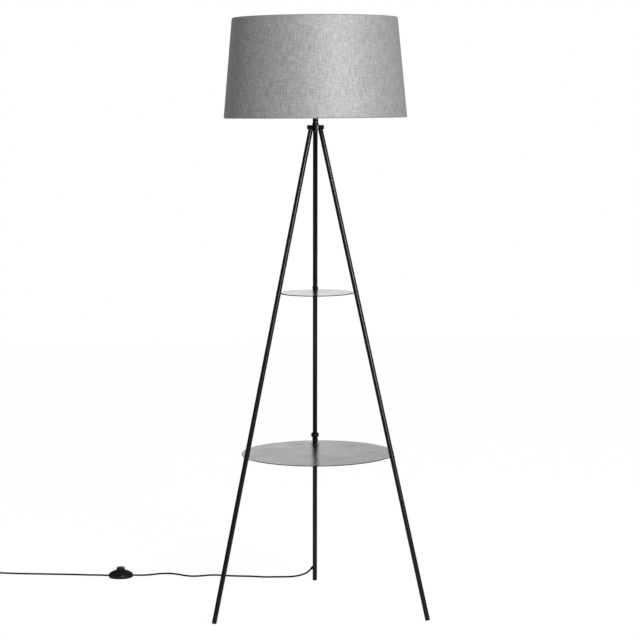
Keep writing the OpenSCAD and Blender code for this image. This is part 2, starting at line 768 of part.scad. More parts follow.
module holder_insert() {
    hole_h = insert_t - 4;
    color("#e8e6df") translate([0, 0, insert_z]) difference() {
        cylinder(r = holder_bore_r - press_gap, h = insert_t);
        for (side = [-1, 1]) translate([side * terminal_x, 0, 0]) {
            translate([0, 0, -over]) cylinder(r = terminal_hole_r, h = hole_h + over);
            translate([0, 0, terminal_screw_z]) rotate([-90, 0, 0])
                cylinder(r = terminal_screw_r + press_gap, h = holder_r);
        }
    }
}

module terminal_screws() {
    length = 11;
    // A screw's tip stops short of its lead
    tip_y = 1.1;
    slot_w = 0.6;
    slot_depth = 0.8;
    color("#c9a54b") for (side = [-1, 1])
        translate([side * terminal_x, tip_y, insert_z + terminal_screw_z]) rotate([-90, 0, 0])
            difference() {
                cylinder(r = terminal_screw_r, h = length);
                translate([-slot_w / 2, -2 * terminal_screw_r, length - slot_depth])
                    cube([slot_w, 4 * terminal_screw_r, slot_depth + over]);
            }
}

module holder_shell() {
    seat_w = 4;
    color("#c9a54b") translate([0, 0, insert_top]) difference() {
        cylinder(r = shell_r + shell_t, h = shell_h);
        translate([0, 0, shell_t]) cylinder(r = shell_r, h = shell_h);
        hole(shell_r - seat_w, shell_t);
    }
}

module centre_contact() {
    foot_r = 5;
    foot_t = 1;
    tip_r = 2.5;
    color("#c9a54b") translate([0, 0, insert_top]) {
        cylinder(r = foot_r, h = foot_t);
        cylinder(r = tip_r, h = contact_h);
    }
}

module shade_ring() {
    flange_t = 3;
    ring_wall = 3;
    color("#181818") translate([0, 0, spider_z + spider_ring_t + press_gap]) difference() {
        union() {
            cylinder(r = shade_ring_d / 2, h = flange_t);
            cylinder(r = holder_r + ring_wall, h = shade_ring_h);
        }
        hole(holder_thread_r + press_gap, shade_ring_h);
    }
}

// Shade

// The wire at an edge of the shade: z is its height above the lower edge
module hem_profile(z) {
    translate([wire_ring_r(z), z]) circle(r = hem_r);
}

// The space for that wire in its hem, open through a slit where the rolled edge ends
module wire_space(z, slit_side) {
    slit_w = 1;
    slit_x = 0.6;
    translate([wire_ring_r(z), z]) circle(r = wire_r + cloth_gap);
    translate([wire_ring_r(z) + slit_x, z + (slit_side > 0 ? 0 : -hem_r - over)])
        square([slit_w, hem_r + over]);
}

module spider_arms(r, extra) {
    ring_mid_z = spider_z + spider_ring_t / 2;
    wire_z = shade_z + wire_edge;
    for (az = [REAR, LEFT, RIGHT]) rotate([0, 0, az]) {
        from = [spider_ring_d / 2 - arm_r - 1, 0, ring_mid_z];
        wire = [bottom_wire_r, 0, wire_z];
        rod(from, wire - unit(wire - from) * (wire_r + press_gap - extra), r);
    }
}

module shade_fabric() {
    color("#8f8d90") difference() {
        translate([0, 0, shade_z]) rotate_extrude($fn = 128) difference() {
            union() {
                polygon([
                    [shade_bottom_d / 2, 0], [shade_top_d / 2, shade_h],
                    [shade_top_d / 2 - fabric_t, shade_h], [shade_bottom_d / 2 - fabric_t, 0]]);
                hem_profile(wire_edge);
                hem_profile(shade_h - wire_edge);
            }
            wire_space(wire_edge, 1);
            wire_space(shade_h - wire_edge, -1);
        }
        spider_arms(arm_r + 0.2, press_gap);
    }
}

module shade_liner() {
    from_z = wire_edge + hem_r + cloth_gap;
    to_z = shade_h - from_z;
    color("#f2f0ea") translate([0, 0, shade_z]) rotate_extrude($fn = 128) polygon([
        [skin_r(from_z) - cloth_gap, from_z], [skin_r(to_z) - cloth_gap, to_z],
        [skin_r(to_z) - cloth_gap - liner_t, to_z], [skin_r(from_z) - cloth_gap - liner_t, from_z]]);
}

module shade_top_wire() {
    color("#dddbd5") translate([0, 0, shade_z + shade_h - wire_edge]) rotate_extrude($fn = 128)
        translate([top_wire_r, 0]) circle(r = wire_r);
}

module shade_bottom_wire() {
    color("#dddbd5") translate([0, 0, shade_z + wire_edge]) rotate_extrude($fn = 128)
        translate([bottom_wire_r, 0]) circle(r = wire_r);
}

module shade_spider() {
    bore_gap = 0.2;
    room = 0.5;
    color("#dddbd5") translate([0, 0, spider_z]) difference() {
        union() {
            cylinder(r = spider_ring_d / 2, h = spider_ring_t);
            translate([0, 0, -spider_z]) spider_arms(arm_r, 0);
        }
        translate([0, 0, -spider_arm_d]) hole(holder_thread_r + bore_gap, 3 * spider_arm_d);
        // Flat under the shade ring and on the holder's shoulder, where the arms' ends would stand out
        translate([0, 0, spider_ring_t]) cylinder(r = shade_ring_d / 2 + room, h = spider_arm_d);
        translate([0, 0, -spider_arm_d]) cylinder(r = holder_shoulder_d / 2 + room, h = spider_arm_d);
    }
}

// Bulb

module bulb_globe() {
    wall = 1;
    neck_r = globe_r * 0.8;
    neck_z = globe_z - sqrt(globe_r * globe_r - neck_r * neck_r);
    color("#f4f3ee") difference() {
        translate([0, 0, globe_z]) sphere(r = globe_r);
        translate([0, 0, globe_z]) sphere(r = globe_r - wall);
        translate([0, 0, neck_z - globe_d]) cylinder(r = globe_r, h = globe_d);
    }
}

module bulb_housing() {
    top_r = globe_r * 0.8 - 0.3;
    neck_z = globe_z - globe_r * 0.6;
    wall = 2;
    color("#f4f3ee") translate([0, 0, bulb_housing_z]) difference() {
        rotate_extrude() polygon([
            [0, 0], [screw_cap_d / 2 - 0.2, 0], [screw_cap_d / 2 + 1, bulb_housing_h / 3],
            [top_r, neck_z - bulb_housing_z], [0, neck_z - bulb_housing_z]]);
        translate([0, 0, wall]) rotate_extrude() polygon([
            [0, 0], [screw_cap_d / 2 - 0.2 - wall, 0], [screw_cap_d / 2 + 1 - wall, bulb_housing_h / 3],
            [top_r - wall, neck_z - bulb_housing_z], [0, neck_z - bulb_housing_z]]);
    }
}

module bulb_cap() {
    crest_r = screw_cap_d / 2;
    groove_r = thread_pitch / 3;
    wall = 1.4;
    grooves = floor((screw_cap_h - 4) / thread_pitch);
    color("#c9c7c0") translate([0, 0, bulb_cap_z]) rotate_extrude() difference() {
        square([crest_r, screw_cap_h]);
        translate([-over, -over]) square([crest_r - wall + over, screw_cap_h + 2 * over]);
        for (i = [1 : grooves]) translate([crest_r + groove_r * 0.55, i * thread_pitch])
            circle(r = groove_r, $fn = 24);
    }
}

module bulb_insulator() {
    low_z = 1.5;
    low_r = 6;
    color("#1a1a1c") translate([0, 0, bulb_z]) difference() {
        rotate_extrude() polygon([
            [0, low_z], [low_r, low_z], [screw_cap_d / 2 - 1, bulb_cap_lift - press_gap],
            [0, bulb_cap_lift - press_gap]]);
        hole(bulb_tip_r + bulb_tip_gap, bulb_tip_h + bulb_tip_gap - over);
    }
}

module bulb_contact() {
    color("#c9a54b") translate([0, 0, bulb_z]) cylinder(r = bulb_tip_r, h = bulb_tip_h);
}

// Foot switch

module at_switch() {
    translate([switch_x, switch_y, 0]) children();
}

// The cover as a solid, with its outline taken in by inset
module dome(inset) {
    // The line from the crown's centre through the shoulder's centre parts the two arcs
    line_z = switch_rim_h - crown_centre_z;
    rotate_extrude($fn = 128) union() {
        square([switch_r - inset, switch_rim_h]);
        translate([shoulder_x, switch_rim_h]) circle(r = switch_shoulder_r - inset);
        intersection() {
            translate([0, crown_centre_z]) circle(r = crown_r - inset, $fn = 256);
            polygon([
                [0, 0], [shoulder_x, switch_rim_h], [2 * shoulder_x, switch_rim_h + line_z],
                [0, switch_rim_h + line_z]]);
        }
    }
}

module at_switch_screws() {
    for (az = [90, 210, 330]) rotate([0, 0, az]) translate([switch_screw_ring, 0, 0]) children();
}

// The way of the cord through the switch's rim on both sides, from the distance r outwards
module cord_ways(r) {
    for (side = [0, 180]) rotate([0, 0, side]) translate([r, 0, switch_cord_z])
        rotate([0, 90, 0]) cylinder(r = cord_r + cord_gap, h = switch_r);
}

module switch_cover() {
    boss_r = 3;
    skin = 0.5;
    screw_room = 0.6;
    color("#141414") at_switch() difference() {
        union() {
            difference() {
                dome(0);
                translate([0, 0, -over]) cylinder(r = switch_r - switch_wall, h = 2 * over);
                dome(switch_wall);
            }
            intersection() {
                dome(skin);
                at_switch_screws() translate([0, 0, switch_base_t + press_gap])
                    cylinder(r = boss_r, h = switch_h);
            }
        }
        cylinder(r = button_r + moving_gap, h = 2 * switch_h);
        cord_ways(switch_cord_end);
        at_switch_screws() cylinder(r = switch_screw_r + press_gap, h = switch_screw_len + screw_room);
    }
}

module switch_base() {
    post_r = 3;
    post_h = 3;
    rim_gap = 0.1;
    color("#141414") at_switch() difference() {
        union() {
            cylinder(r = switch_r - switch_wall - rim_gap, h = switch_base_t);
            cylinder(r = post_r, h = switch_base_t + post_h);
        }
        cord_ways(switch_cord_end - 1);
        at_switch_screws() {
            hole(switch_screw_r + press_gap, switch_base_t);
            translate([0, 0, -over])
                cylinder(r = switch_head_r + 2 * rim_gap, h = switch_head_t + 2 * rim_gap + over);
        }
    }
}

module switch_screws() {
    sunk = 0.1;
    color("#8c8a84") at_switch() at_switch_screws() translate([0, 0, sunk]) {
        cylinder(r = switch_head_r, h = switch_head_t);
        cylinder(r = switch_screw_r, h = switch_screw_len);
    }
}

module switch_button() {
    edge = 1.2;
    color("#2b2b2c") at_switch() difference() {
        union() {
            rotate_extrude() union() {
                translate([0, button_skirt_z]) square([button_r, button_top - edge - button_skirt_z]);
                translate([0, button_top - 2 * edge]) square([button_r - edge, 2 * edge]);
                translate([button_r - edge, button_top - edge]) circle(r = edge);
            }
            translate([0, 0, button_flange_z]) cylinder(r = button_flange_r, h = button_flange_t);
        }
        translate([0, 0, button_skirt_z - over])
            cylinder(r = button_r - button_wall, h = button_top - button_crown - button_skirt_z + over);
    }
}

module switch_spring() {
    spring_r = 5;
    strand_r = 0.6;
    curls = 5;
    curl_rings = 8;
    from_z = switch_base_t + strand_r + press_gap;
    to_z = button_top - button_crown - strand_r - press_gap;
    path = [for (i = [0 : curls * curl_rings]) let (a = 360 * i / curl_rings)
        [spring_r * cos(a), spring_r * sin(a), from_z + (to_z - from_z) * i / (curls * curl_rings)]];
    color("#b9b7ae") at_switch() sweep(path, strand_r, 6);
}

module switch_clamps() {
    clamp_x = switch_cord_end + 2;
    clamp_size = [5, 12, 7];
    color("#3a3a3b") at_switch() difference() {
        for (side = [0, 180]) rotate([0, 0, side])
            translate([clamp_x, -clamp_size[1] / 2, switch_base_t]) cube(clamp_size);
        cord_ways(switch_cord_end);
    }
}

module switch_contacts() {
    blade = [1, 8, 7];
    foot = [2.6, 8, 0.8];
    color("#c9a54b") at_switch() for (side = [0, 180]) rotate([0, 0, side])
        translate([switch_cord_end - 3, -blade[1] / 2, switch_base_t]) {
            cube(blade);
            cube(foot);
        }
}

// Cord on the floor and what is on it

module cord_to_switch() {
    color("#141414") sweep(bent(route_to_switch, 2), cord_r, 8);
}

module cord_to_coil() {
    route = concat(route_to_coil, [coil_path[0]]);
    color("#141414") sweep(bent(route, 2), cord_r, 8);
}

module cord_coil() {
    color("#141414") sweep(coil_path, cord_r, coil_sides);
}

module cord_tail() {
    color("#141414") sweep(route_of_tail, cord_r, 8);
}

// A flat strap round the coil's strands, where they lie three wide and two high
module cord_tie() {
    strap_w = 8;
    strap_t = 0.8;
    turn = 0.125;
    az = coil_start_az + 360 * turn;
    inner = coil_r(turn + 2) - cord_r - 1;
    outer = coil_r(turn) + cord_r + 0.3;
    top = coil_low_z + coil_step + cord_r + 0.2;
    color("#1e1e1f") translate([coil_x, coil_y, 0]) rotate([0, 0, az]) translate([0, strap_w / 2, 0])
        rotate([90, 0, 0]) linear_extrude(strap_w) difference() {
            translate([inner - strap_t, 0]) square([outer - inner + 2 * strap_t, top + strap_t]);
            translate([inner, strap_t]) square([outer - inner, top - strap_t]);
        }
}

module plug_body() {
    shoulder = 12;
    neck = 5.5;
    relief_wall = 0.8;
    edge = 3;
    color("#141414") translate([tail_end[0], 0, plug_z]) difference() {
        union() {
            intersection() {
                translate([0, 0, -plug_t / 2]) linear_extrude(plug_t) polygon([
                    [-plug_w / 2, plug_front_y], [plug_w / 2, plug_front_y],
                    [plug_w / 2, plug_front_y + shoulder], [neck, relief_y],
                    [-neck, relief_y], [-plug_w / 2, plug_front_y + shoulder]]);
                translate([0, relief_y, 0]) rotate([90, 0, 0]) linear_extrude(plug_len) union() {
                    square([plug_w, plug_t - 2 * edge], center = true);
                    square([plug_w - 2 * edge, plug_t], center = true);
                    for (x = [-1, 1], z = [-1, 1])
                        translate([x * (plug_w / 2 - edge), z * (plug_t / 2 - edge)]) circle(r = edge);
                }
            }
            translate([0, tail_end[1], 0]) rotate([90, 0, 0])
                cylinder(r1 = cord_r + relief_wall, r2 = neck, h = relief_len);
            at_pins(plug_front_y + over)
                cylinder(d = pin_sleeve_d, h = pin_sleeve_len + over - press_gap);
        }
        at_pins(plug_front_y + pin_seat)
            cylinder(r = pin_core_r + press_gap, h = pin_seat + pin_sleeve_len + over);
    }
}

// Puts its children on both pins' axes at the given y, with z towards the pins' tips
module at_pins(y) {
    for (side = [-1, 1]) translate([side * pin_spacing / 2, y, 0]) rotate([90, 0, 0]) children();
}

module plug_pins() {
    round_end = 1;
    core_len = pin_seat + pin_sleeve_len - press_gap;
    bare_len = pin_len - pin_sleeve_len;
    color("#b9b7ae") translate([tail_end[0], 0, plug_z])
        at_pins(plug_front_y + pin_seat - press_gap) rotate_extrude() union() {
            square([pin_core_r, core_len + bare_len]);
            translate([0, core_len]) square([pin_r, bare_len - round_end]);
            translate([0, core_len]) square([pin_r - round_end, bare_len]);
            intersection() {
                translate([pin_r - round_end, core_len + bare_len - round_end]) circle(r = round_end);
                translate([0, core_len]) square([pin_d, pin_len]);
            }
        }
}

hub_body();
hub_lid();
hub_dome_nut();
stem_pipe();
stem_collar();
stem_tube();
left_leg_top();
left_leg_middle();
left_leg_bottom();
right_leg_top();
right_leg_middle();
right_leg_bottom();
rear_leg_top();
rear_leg_middle();
rear_leg_bottom();
front_leg_studs();
rear_leg_nipples();
front_leg_bushes();
rear_leg_bushes();
left_foot();
right_foot();
rear_foot();
rear_leg_collar();
collar_grub_screw();
upper_shelf();
lower_shelf();
cord_in_leg();
lamp_leads();
cord_grommet();
holder_cap();
holder_body();
holder_insert();
holder_shell();
centre_contact();
terminal_screws();
shade_ring();
shade_fabric();
shade_liner();
shade_top_wire();
shade_bottom_wire();
shade_spider();
bulb_globe();
bulb_housing();
bulb_cap();
bulb_insulator();
bulb_contact();
switch_base();
switch_cover();
switch_button();
switch_spring();
switch_contacts();
switch_clamps();
switch_screws();
cord_to_switch();
cord_to_coil();
cord_coil();
cord_tie();
cord_tail();
plug_body();
plug_pins();
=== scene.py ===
"""The looks of a tripod floor lamp with two round shelves, made round its CAD frame."""

import math

import bmesh
import bpy
from bpy.props import FloatProperty, FloatVectorProperty, IntProperty, PointerProperty
from bpy.types import Operator, Panel, PropertyGroup
from mathutils import Matrix, Vector


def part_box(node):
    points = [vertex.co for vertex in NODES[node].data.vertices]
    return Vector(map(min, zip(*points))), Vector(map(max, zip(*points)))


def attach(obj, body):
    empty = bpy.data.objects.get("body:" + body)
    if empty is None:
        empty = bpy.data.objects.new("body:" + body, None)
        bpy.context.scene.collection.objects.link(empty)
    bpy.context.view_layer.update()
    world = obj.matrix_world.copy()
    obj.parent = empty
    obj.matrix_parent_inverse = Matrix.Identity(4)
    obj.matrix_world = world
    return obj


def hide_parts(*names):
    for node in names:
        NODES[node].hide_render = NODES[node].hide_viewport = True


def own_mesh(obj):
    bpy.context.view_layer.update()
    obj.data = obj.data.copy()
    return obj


bl_info = {
    "name": "Tripod floor lamp",
    "version": (1, 0, 0),
    "blender": (4, 5, 0),
    "location": "View3D > Sidebar > Lamp",
    "description": "Makes the looks of a tripod floor lamp with two shelves round its CAD frame",
    "category": "Object",
}

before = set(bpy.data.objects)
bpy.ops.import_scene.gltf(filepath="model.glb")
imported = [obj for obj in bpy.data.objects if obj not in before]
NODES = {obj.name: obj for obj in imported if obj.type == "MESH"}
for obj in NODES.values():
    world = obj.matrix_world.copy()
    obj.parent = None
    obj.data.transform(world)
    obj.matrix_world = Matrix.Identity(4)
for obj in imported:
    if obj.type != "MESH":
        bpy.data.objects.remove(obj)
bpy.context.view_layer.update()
MM = 0.001
MERGE = 0.01 * MM


# Sizes and colours that a user would change

def linear(hex_colour):
    """An sRGB hex colour as linear red, green and blue."""
    parts = [int(hex_colour[i:i + 2], 16) / 255 for i in (1, 3, 5)]
    return tuple(c / 12.92 if c <= 0.04045 else ((c + 0.055) / 1.055) ** 2.4 for c in parts)


def colour(name, description, hex_colour):
    return FloatVectorProperty(name=name, description=description, subtype="COLOR", size=3,
                               min=0, max=1, default=linear(hex_colour))


def length(name, description, millimetres):
    return FloatProperty(name=name, description=description, unit="LENGTH", min=0,
                         precision=5, default=millimetres * MM)


def angle(name, description, degrees):
    return FloatProperty(name=name, description=description, subtype="ANGLE",
                         default=math.radians(degrees))


class LampStage(PropertyGroup):
    camera_place: FloatVectorProperty(
        name="Camera place", description="Where the camera stands", subtype="TRANSLATION",
        default=(-0.1767, -5.1696, 1.2788))
    heading: angle("Heading", "Turn of the camera from +Y towards +X", 2.046)
    pitch: angle("Pitch", "How far the camera looks down", 5.925)
    roll: angle("Roll", "Turn of the camera about its own axis", 0.396)
    focal_length: FloatProperty(
        name="Focal length", description="In millimetres, on a sensor 36 mm wide", default=115.575)
    backdrop: colour("Backdrop", "Colour of the backdrop, and of the floor's glow", "#ffffff")
    paper: colour("Floor", "Colour of the floor under the lamp", "#c8c8c8")
    room: FloatProperty(
        name="Room light", description="Strength of the even light from all round",
        min=0, default=0.285)
    wall: FloatProperty(
        name="Backdrop light", description="How bright the backdrop is in a reflection",
        min=0, default=2.8)
    key: FloatProperty(
        name="Key light", description="Power of the large light at the front right, in watts",
        min=0, default=100)


class LampColours(PropertyGroup):
    paint: colour("Paint", "Satin black paint of hub, stem and legs", "#1a1a1b")
    shelf: colour("Shelves", "Smoother black paint of the shelves", "#17181d")
    cloth_dark: colour("Dark thread", "Darkest threads of the shade's cloth", "#8c8c8b")
    cloth_light: colour("Light thread", "Lightest threads of the shade's cloth", "#cececb")
    liner: colour("Liner", "White sheet inside the shade", "#efece4")
    wire: colour("Wire", "White paint of the shade's wires", "#e6e3db")
    cord: colour("Cord", "Black sheath of the cord", "#0a0a0b")
    plastic: colour("Plastic", "Black moulded plastic of switch and plug", "#202021")
    zinc: colour("Zinc", "Bright zinc on studs, pipe and screws", "#b9b8b2")
    brass: colour("Brass", "Contacts and screw shell", "#c8a45c")
    sleeving: colour("Sleeving", "Glass sleeving of the two leads", "#d8cfb8")
    nickel: colour("Nickel", "Bulb cap and plug pins", "#c4c2bc")
    opal: colour("Opal", "White glass of the bulb", "#f3f1ea")
    ceramic: colour("Ceramic", "Lampholder's insert", "#e7e3d8")


class LampSizes(PropertyGroup):
    shade_top_radius: length("Shade top", "Outer radius of the shade's top edge", 207)
    shade_bottom_radius: length("Shade bottom", "Outer radius of the shade's lower edge", 230)
    cloth: length("Cloth", "Thickness of the shade's cloth", 1)
    shade_wire: length("Shade wire", "Radius of the wires in the shade's hems", 2)
    seam_width: length("Seam", "Width of the overlap where the cloth is closed", 11)
    shade_steps: IntProperty(name="Shade steps", description="Faces round the shade", default=192)
    cord: length("Cord", "Diameter of the cord", 4.8)
    switch_radius: length("Switch", "Radius of the foot switch", 33)
    switch_crown: length("Switch crown", "Height of the switch's dome over the floor", 20.6)
    switch_rim: length("Switch rim", "Height of the switch's upright rim", 6.2)
    switch_shoulder: length("Switch shoulder", "Radius between the rim and the dome", 5.5)
    switch_wall: length("Switch wall", "Wall of the switch's shell", 2)
    button_radius: length("Button", "Radius of the push button", 11)
    button_gap: length("Button gap", "Gap round the push button", 0.3)
    button_travel: length("Button travel", "How far the push button goes down", 3.5)
    spring_wire: length("Spring wire", "Thickness of the wire of the button's spring", 1.2)
    plug_width: length("Plug", "Width of the plug", 35.3)
    plug_length: length("Plug length", "Length of the plug from its face to its sleeve", 36)
    plug_block: length("Plug block", "Length of the plug's straight part, behind its face", 12)
    plug_neck: length("Plug neck", "Radius of the plug where its sleeve begins", 5.5)
    plug_edge: length("Plug edge", "How far the plug's edges are rounded", 2.8)
    coil_radius: length("Coil", "Radius of the coil's innermost turn", 21)
    strap_width: length("Strap", "Width of the strap round the coil", 8)
    strap: length("Strap thickness", "Thickness of the strap", 0.8)


# Small tools

def deselect():
    """Leaves edit mode and leaves nothing selected."""
    active = bpy.context.view_layer.objects.active
    if active and active.mode != "OBJECT":
        bpy.ops.object.mode_set(mode="OBJECT")
    bpy.ops.object.select_all(action="DESELECT")


def pick(piece):
    """Makes one object the only selected and the active one."""
    deselect()
    piece.select_set(True)
    bpy.context.view_layer.objects.active = piece
    return piece


def named(name):
    """Gives the object that an operator has just added its name."""
    piece = bpy.context.view_layer.objects.active
    piece.name = name
    piece.data.name = name
    return piece


def modify(piece, kind, **settings):
    """Adds a modifier with its settings and applies it."""
    pick(piece)
    modifier = piece.modifiers.new(kind.title(), kind)
    for name, value in settings.items():
        setattr(modifier, name, value)
    bpy.ops.object.modifier_apply(modifier=modifier.name)
    return piece


def settle(piece, material, smooth_below=35):
    """Puts the piece's place into its mesh, and gives it its shading and its material."""
    pick(piece)
    bpy.ops.object.transform_apply(location=True, rotation=True, scale=True)
    bpy.ops.object.shade_smooth_by_angle(angle=math.radians(smooth_below))
    piece.data.materials.clear()
    piece.data.materials.append(material)
    return piece


def lathe(name, outline, centre=(0, 0), steps=96, closed=True):
    """Turns an outline of (radius, height) points about an upright axis.

    An open outline is a sheet, and points at radius 0 close it with a pole.
    """
    deselect()
    bpy.ops.mesh.primitive_circle_add(vertices=len(outline), radius=1, fill_type="NOTHING")
    piece = named(name)
    bpy.ops.object.mode_set(mode="EDIT")
    work = bmesh.from_edit_mesh(piece.data)
    work.verts.ensure_lookup_table()
    for point, (radius, height) in zip(work.verts, outline):
        point.co = (centre[0] + radius, centre[1], height)
    if not closed:
        first, last = work.verts[0], work.verts[len(outline) - 1]
        work.edges.remove(next(e for e in first.link_edges if e.other_vert(first) == last))
    bmesh.update_edit_mesh(piece.data)
    bpy.ops.mesh.select_all(action="SELECT")
    bpy.ops.mesh.spin(steps=steps, angle=2 * math.pi, center=(*centre, 0), axis=(0, 0, 1))
    bpy.ops.mesh.select_all(action="SELECT")
    bpy.ops.mesh.remove_doubles(threshold=MERGE)
    bpy.ops.mesh.normals_make_consistent(inside=False)
    bpy.ops.object.mode_set(mode="OBJECT")
    return piece


def arc(centre, radius, start, end, steps):
    """Points of an arc as (radius, height), from start to end in degrees."""
    turns = [math.radians(start + (end - start) * i / steps) for i in range(steps + 1)]
    return [(centre[0] + radius * math.cos(a), centre[1] + radius * math.sin(a)) for a in turns]


# Materials

def new_material(name):
    material = bpy.data.materials.new(name)
    material.use_nodes = True
    material.node_tree.nodes.clear()
    return material


def add(material, kind, inputs=None, **settings):
    """Adds one node; inputs maps a socket to a value, or to the output that it takes."""
    node = material.node_tree.nodes.new(kind)
    for name, value in settings.items():
        setattr(node, name, value)
    for socket, value in (inputs or {}).items():
        if isinstance(value, bpy.types.NodeSocket):
            material.node_tree.links.new(value, node.inputs[socket])
        else:
            node.inputs[socket].default_value = value
    return node


def finish_with(material, shader):
    add(material, "ShaderNodeOutputMaterial", {"Surface": shader.outputs[0]})
    return material


def grain(material, size, detail=2.0, stretch=(1, 1, 1)):
    """Noise whose features are about size metres across, on the piece's own coordinates."""
    place = add(material, "ShaderNodeTexCoord").outputs["Object"]
    if stretch != (1, 1, 1):
        place = add(material, "ShaderNodeMapping", {"Vector": place, "Scale": stretch}).outputs[0]
    return add(material, "ShaderNodeTexNoise", {"Vector": place, "Scale": 1 / size, "Detail": detail})


def spread(material, value, low, high):
    """Maps the middle part of a noise to the range from low to high."""
    return add(material, "ShaderNodeMapRange", {
        "Value": value, "From Min": 0.3, "From Max": 0.7, "To Min": low, "To Max": high}).outputs[0]


def bumped(material, height, depth):
    return add(material, "ShaderNodeBump", {"Height": height, "Distance": depth}).outputs[0]


def painted_steel(name, tint, roughness, peel, depth):
    """Baked paint on steel: an even film with a faint orange peel, and slight rubbed patches."""
    material = new_material(name)
    film = grain(material, peel, detail=1.0)
    rubbed = grain(material, 60 * MM, detail=4.0)
    return finish_with(material, add(material, "ShaderNodeBsdfPrincipled", {
        "Base Color": (*tint, 1),
        "Roughness": spread(material, rubbed.outputs[0], roughness * 0.93, roughness * 1.07),
        "Normal": bumped(material, film.outputs[0], depth)}))


def moulded_plastic(name, tint, roughness, spark=0.25 * MM):
    """Injection-moulded plastic: the fine matt texture that a spark-eroded mould leaves."""
    material = new_material(name)
    texture = grain(material, spark, detail=1.0)
    wear = grain(material, 12 * MM, detail=3.0)
    return finish_with(material, add(material, "ShaderNodeBsdfPrincipled", {
        "Base Color": (*tint, 1),
        "Roughness": spread(material, wear.outputs[0], roughness * 0.9, roughness * 1.1),
        "Normal": bumped(material, texture.outputs[0], 0.01 * MM)}))


def plated_metal(name, tint, roughness, along=(1, 1, 1)):
    """Plated or drawn metal: fine drawing lines in the bright surface."""
    material = new_material(name)
    lines = grain(material, 0.6 * MM, detail=2.0, stretch=along)
    return finish_with(material, add(material, "ShaderNodeBsdfPrincipled", {
        "Base Color": (*tint, 1), "Metallic": 1.0,
        "Roughness": spread(material, lines.outputs[0], roughness * 0.8, roughness * 1.25),
        "Normal": bumped(material, lines.outputs[0], 0.004 * MM)}))


def pvc_sheath(name, tint):
    """Extruded PVC sheath: a soft satin with long, faint draw marks and a little dust."""
    material = new_material(name)
    marks = grain(material, 3 * MM, detail=3.0)
    return finish_with(material, add(material, "ShaderNodeBsdfPrincipled", {
        "Base Color": (*tint, 1), "Specular IOR Level": 0.3,
        "Roughness": spread(material, marks.outputs[0], 0.45, 0.6),
        "Normal": bumped(material, marks.outputs[0], 0.02 * MM)}))


def slub_linen(name, dark, light):
    """Woven linen-look cloth: uneven threads both ways, with long slubs a little lighter or darker.

    The threads follow the piece's own UV map, whose unit is a metre of cloth. Slubs are drawn 2.5 mm
    wide and the weave 1.8 mm apart, several times the real thread, to show from across the room.
    """
    material = new_material(name)
    cloth = add(material, "ShaderNodeUVMap", uv_map="cloth").outputs[0]

    def threads(width, run, upright):
        scale = (1 / width, 1 / run, 1) if upright else (1 / run, 1 / width, 1)
        place = add(material, "ShaderNodeMapping", {"Vector": cloth, "Scale": scale}).outputs[0]
        return add(material, "ShaderNodeTexNoise", {
            "Vector": place, "Scale": 1.0, "Detail": 1.0, "Roughness": 0.5}).outputs[0]

    def both(first, second, operation="ADD"):
        return add(material, "ShaderNodeMath", {0: first, 1: second}, operation=operation).outputs[0]

    slubs = both(threads(2.5 * MM, 30 * MM, True), threads(2.8 * MM, 22 * MM, False))
    yarns = both(threads(1.5 * MM, 9 * MM, True), threads(2.5 * MM, 26 * MM, True))
    woven = both(slubs, yarns)
    shade = add(material, "ShaderNodeMapRange", {
        "Value": woven, "From Min": 1.5, "From Max": 2.5, "To Min": 0.0, "To Max": 1.0}).outputs[0]
    tint = add(material, "ShaderNodeMix", {0: shade, 6: (*dark, 1), 7: (*light, 1)}, data_type="RGBA")
    pitch = 1.8 * MM
    weave = both(*[add(material, "ShaderNodeTexWave", {
        "Vector": cloth, "Scale": math.pi / (10 * pitch), "Distortion": 1.2},
        bands_direction=direction).outputs["Fac"] for direction in ("X", "Y")], "MULTIPLY")
    return finish_with(material, add(material, "ShaderNodeBsdfPrincipled", {
        "Base Color": tint.outputs[2], "Roughness": 0.6, "IOR": 1.8, "Specular IOR Level": 1.0,
        "Coat Weight": 0.8, "Coat Roughness": 0.58, "Sheen Weight": 0.3, "Sheen Roughness": 0.4,
        "Normal": bumped(material, both(weave, woven), 0.18 * MM)}))


def opal_glass(name, tint):
    """Opal glass: white in depth under a smooth, glossy skin."""
    material = new_material(name)
    ripple = grain(material, 18 * MM, detail=1.0)
    return finish_with(material, add(material, "ShaderNodeBsdfPrincipled", {
        "Base Color": (*tint, 1), "Roughness": 0.16, "Subsurface Weight": 0.25,
        "Subsurface Scale": 4 * MM, "Normal": bumped(material, ripple.outputs[0], 0.05 * MM)}))


def pvc_liner(name, tint):
    """White PVC sheet, calendered: faintly mottled and nearly matt."""
    material = new_material(name)
    mottle = grain(material, 3 * MM, detail=3.0)
    return finish_with(material, add(material, "ShaderNodeBsdfPrincipled", {
        "Base Color": (*tint, 1), "Roughness": 0.55,
        "Normal": bumped(material, mottle.outputs[0], 0.03 * MM)}))


def dress(material, *names):
    """Gives CAD nodes their material."""
    for name in names:
        NODES[name].data.materials.clear()
        NODES[name].data.materials.append(material)


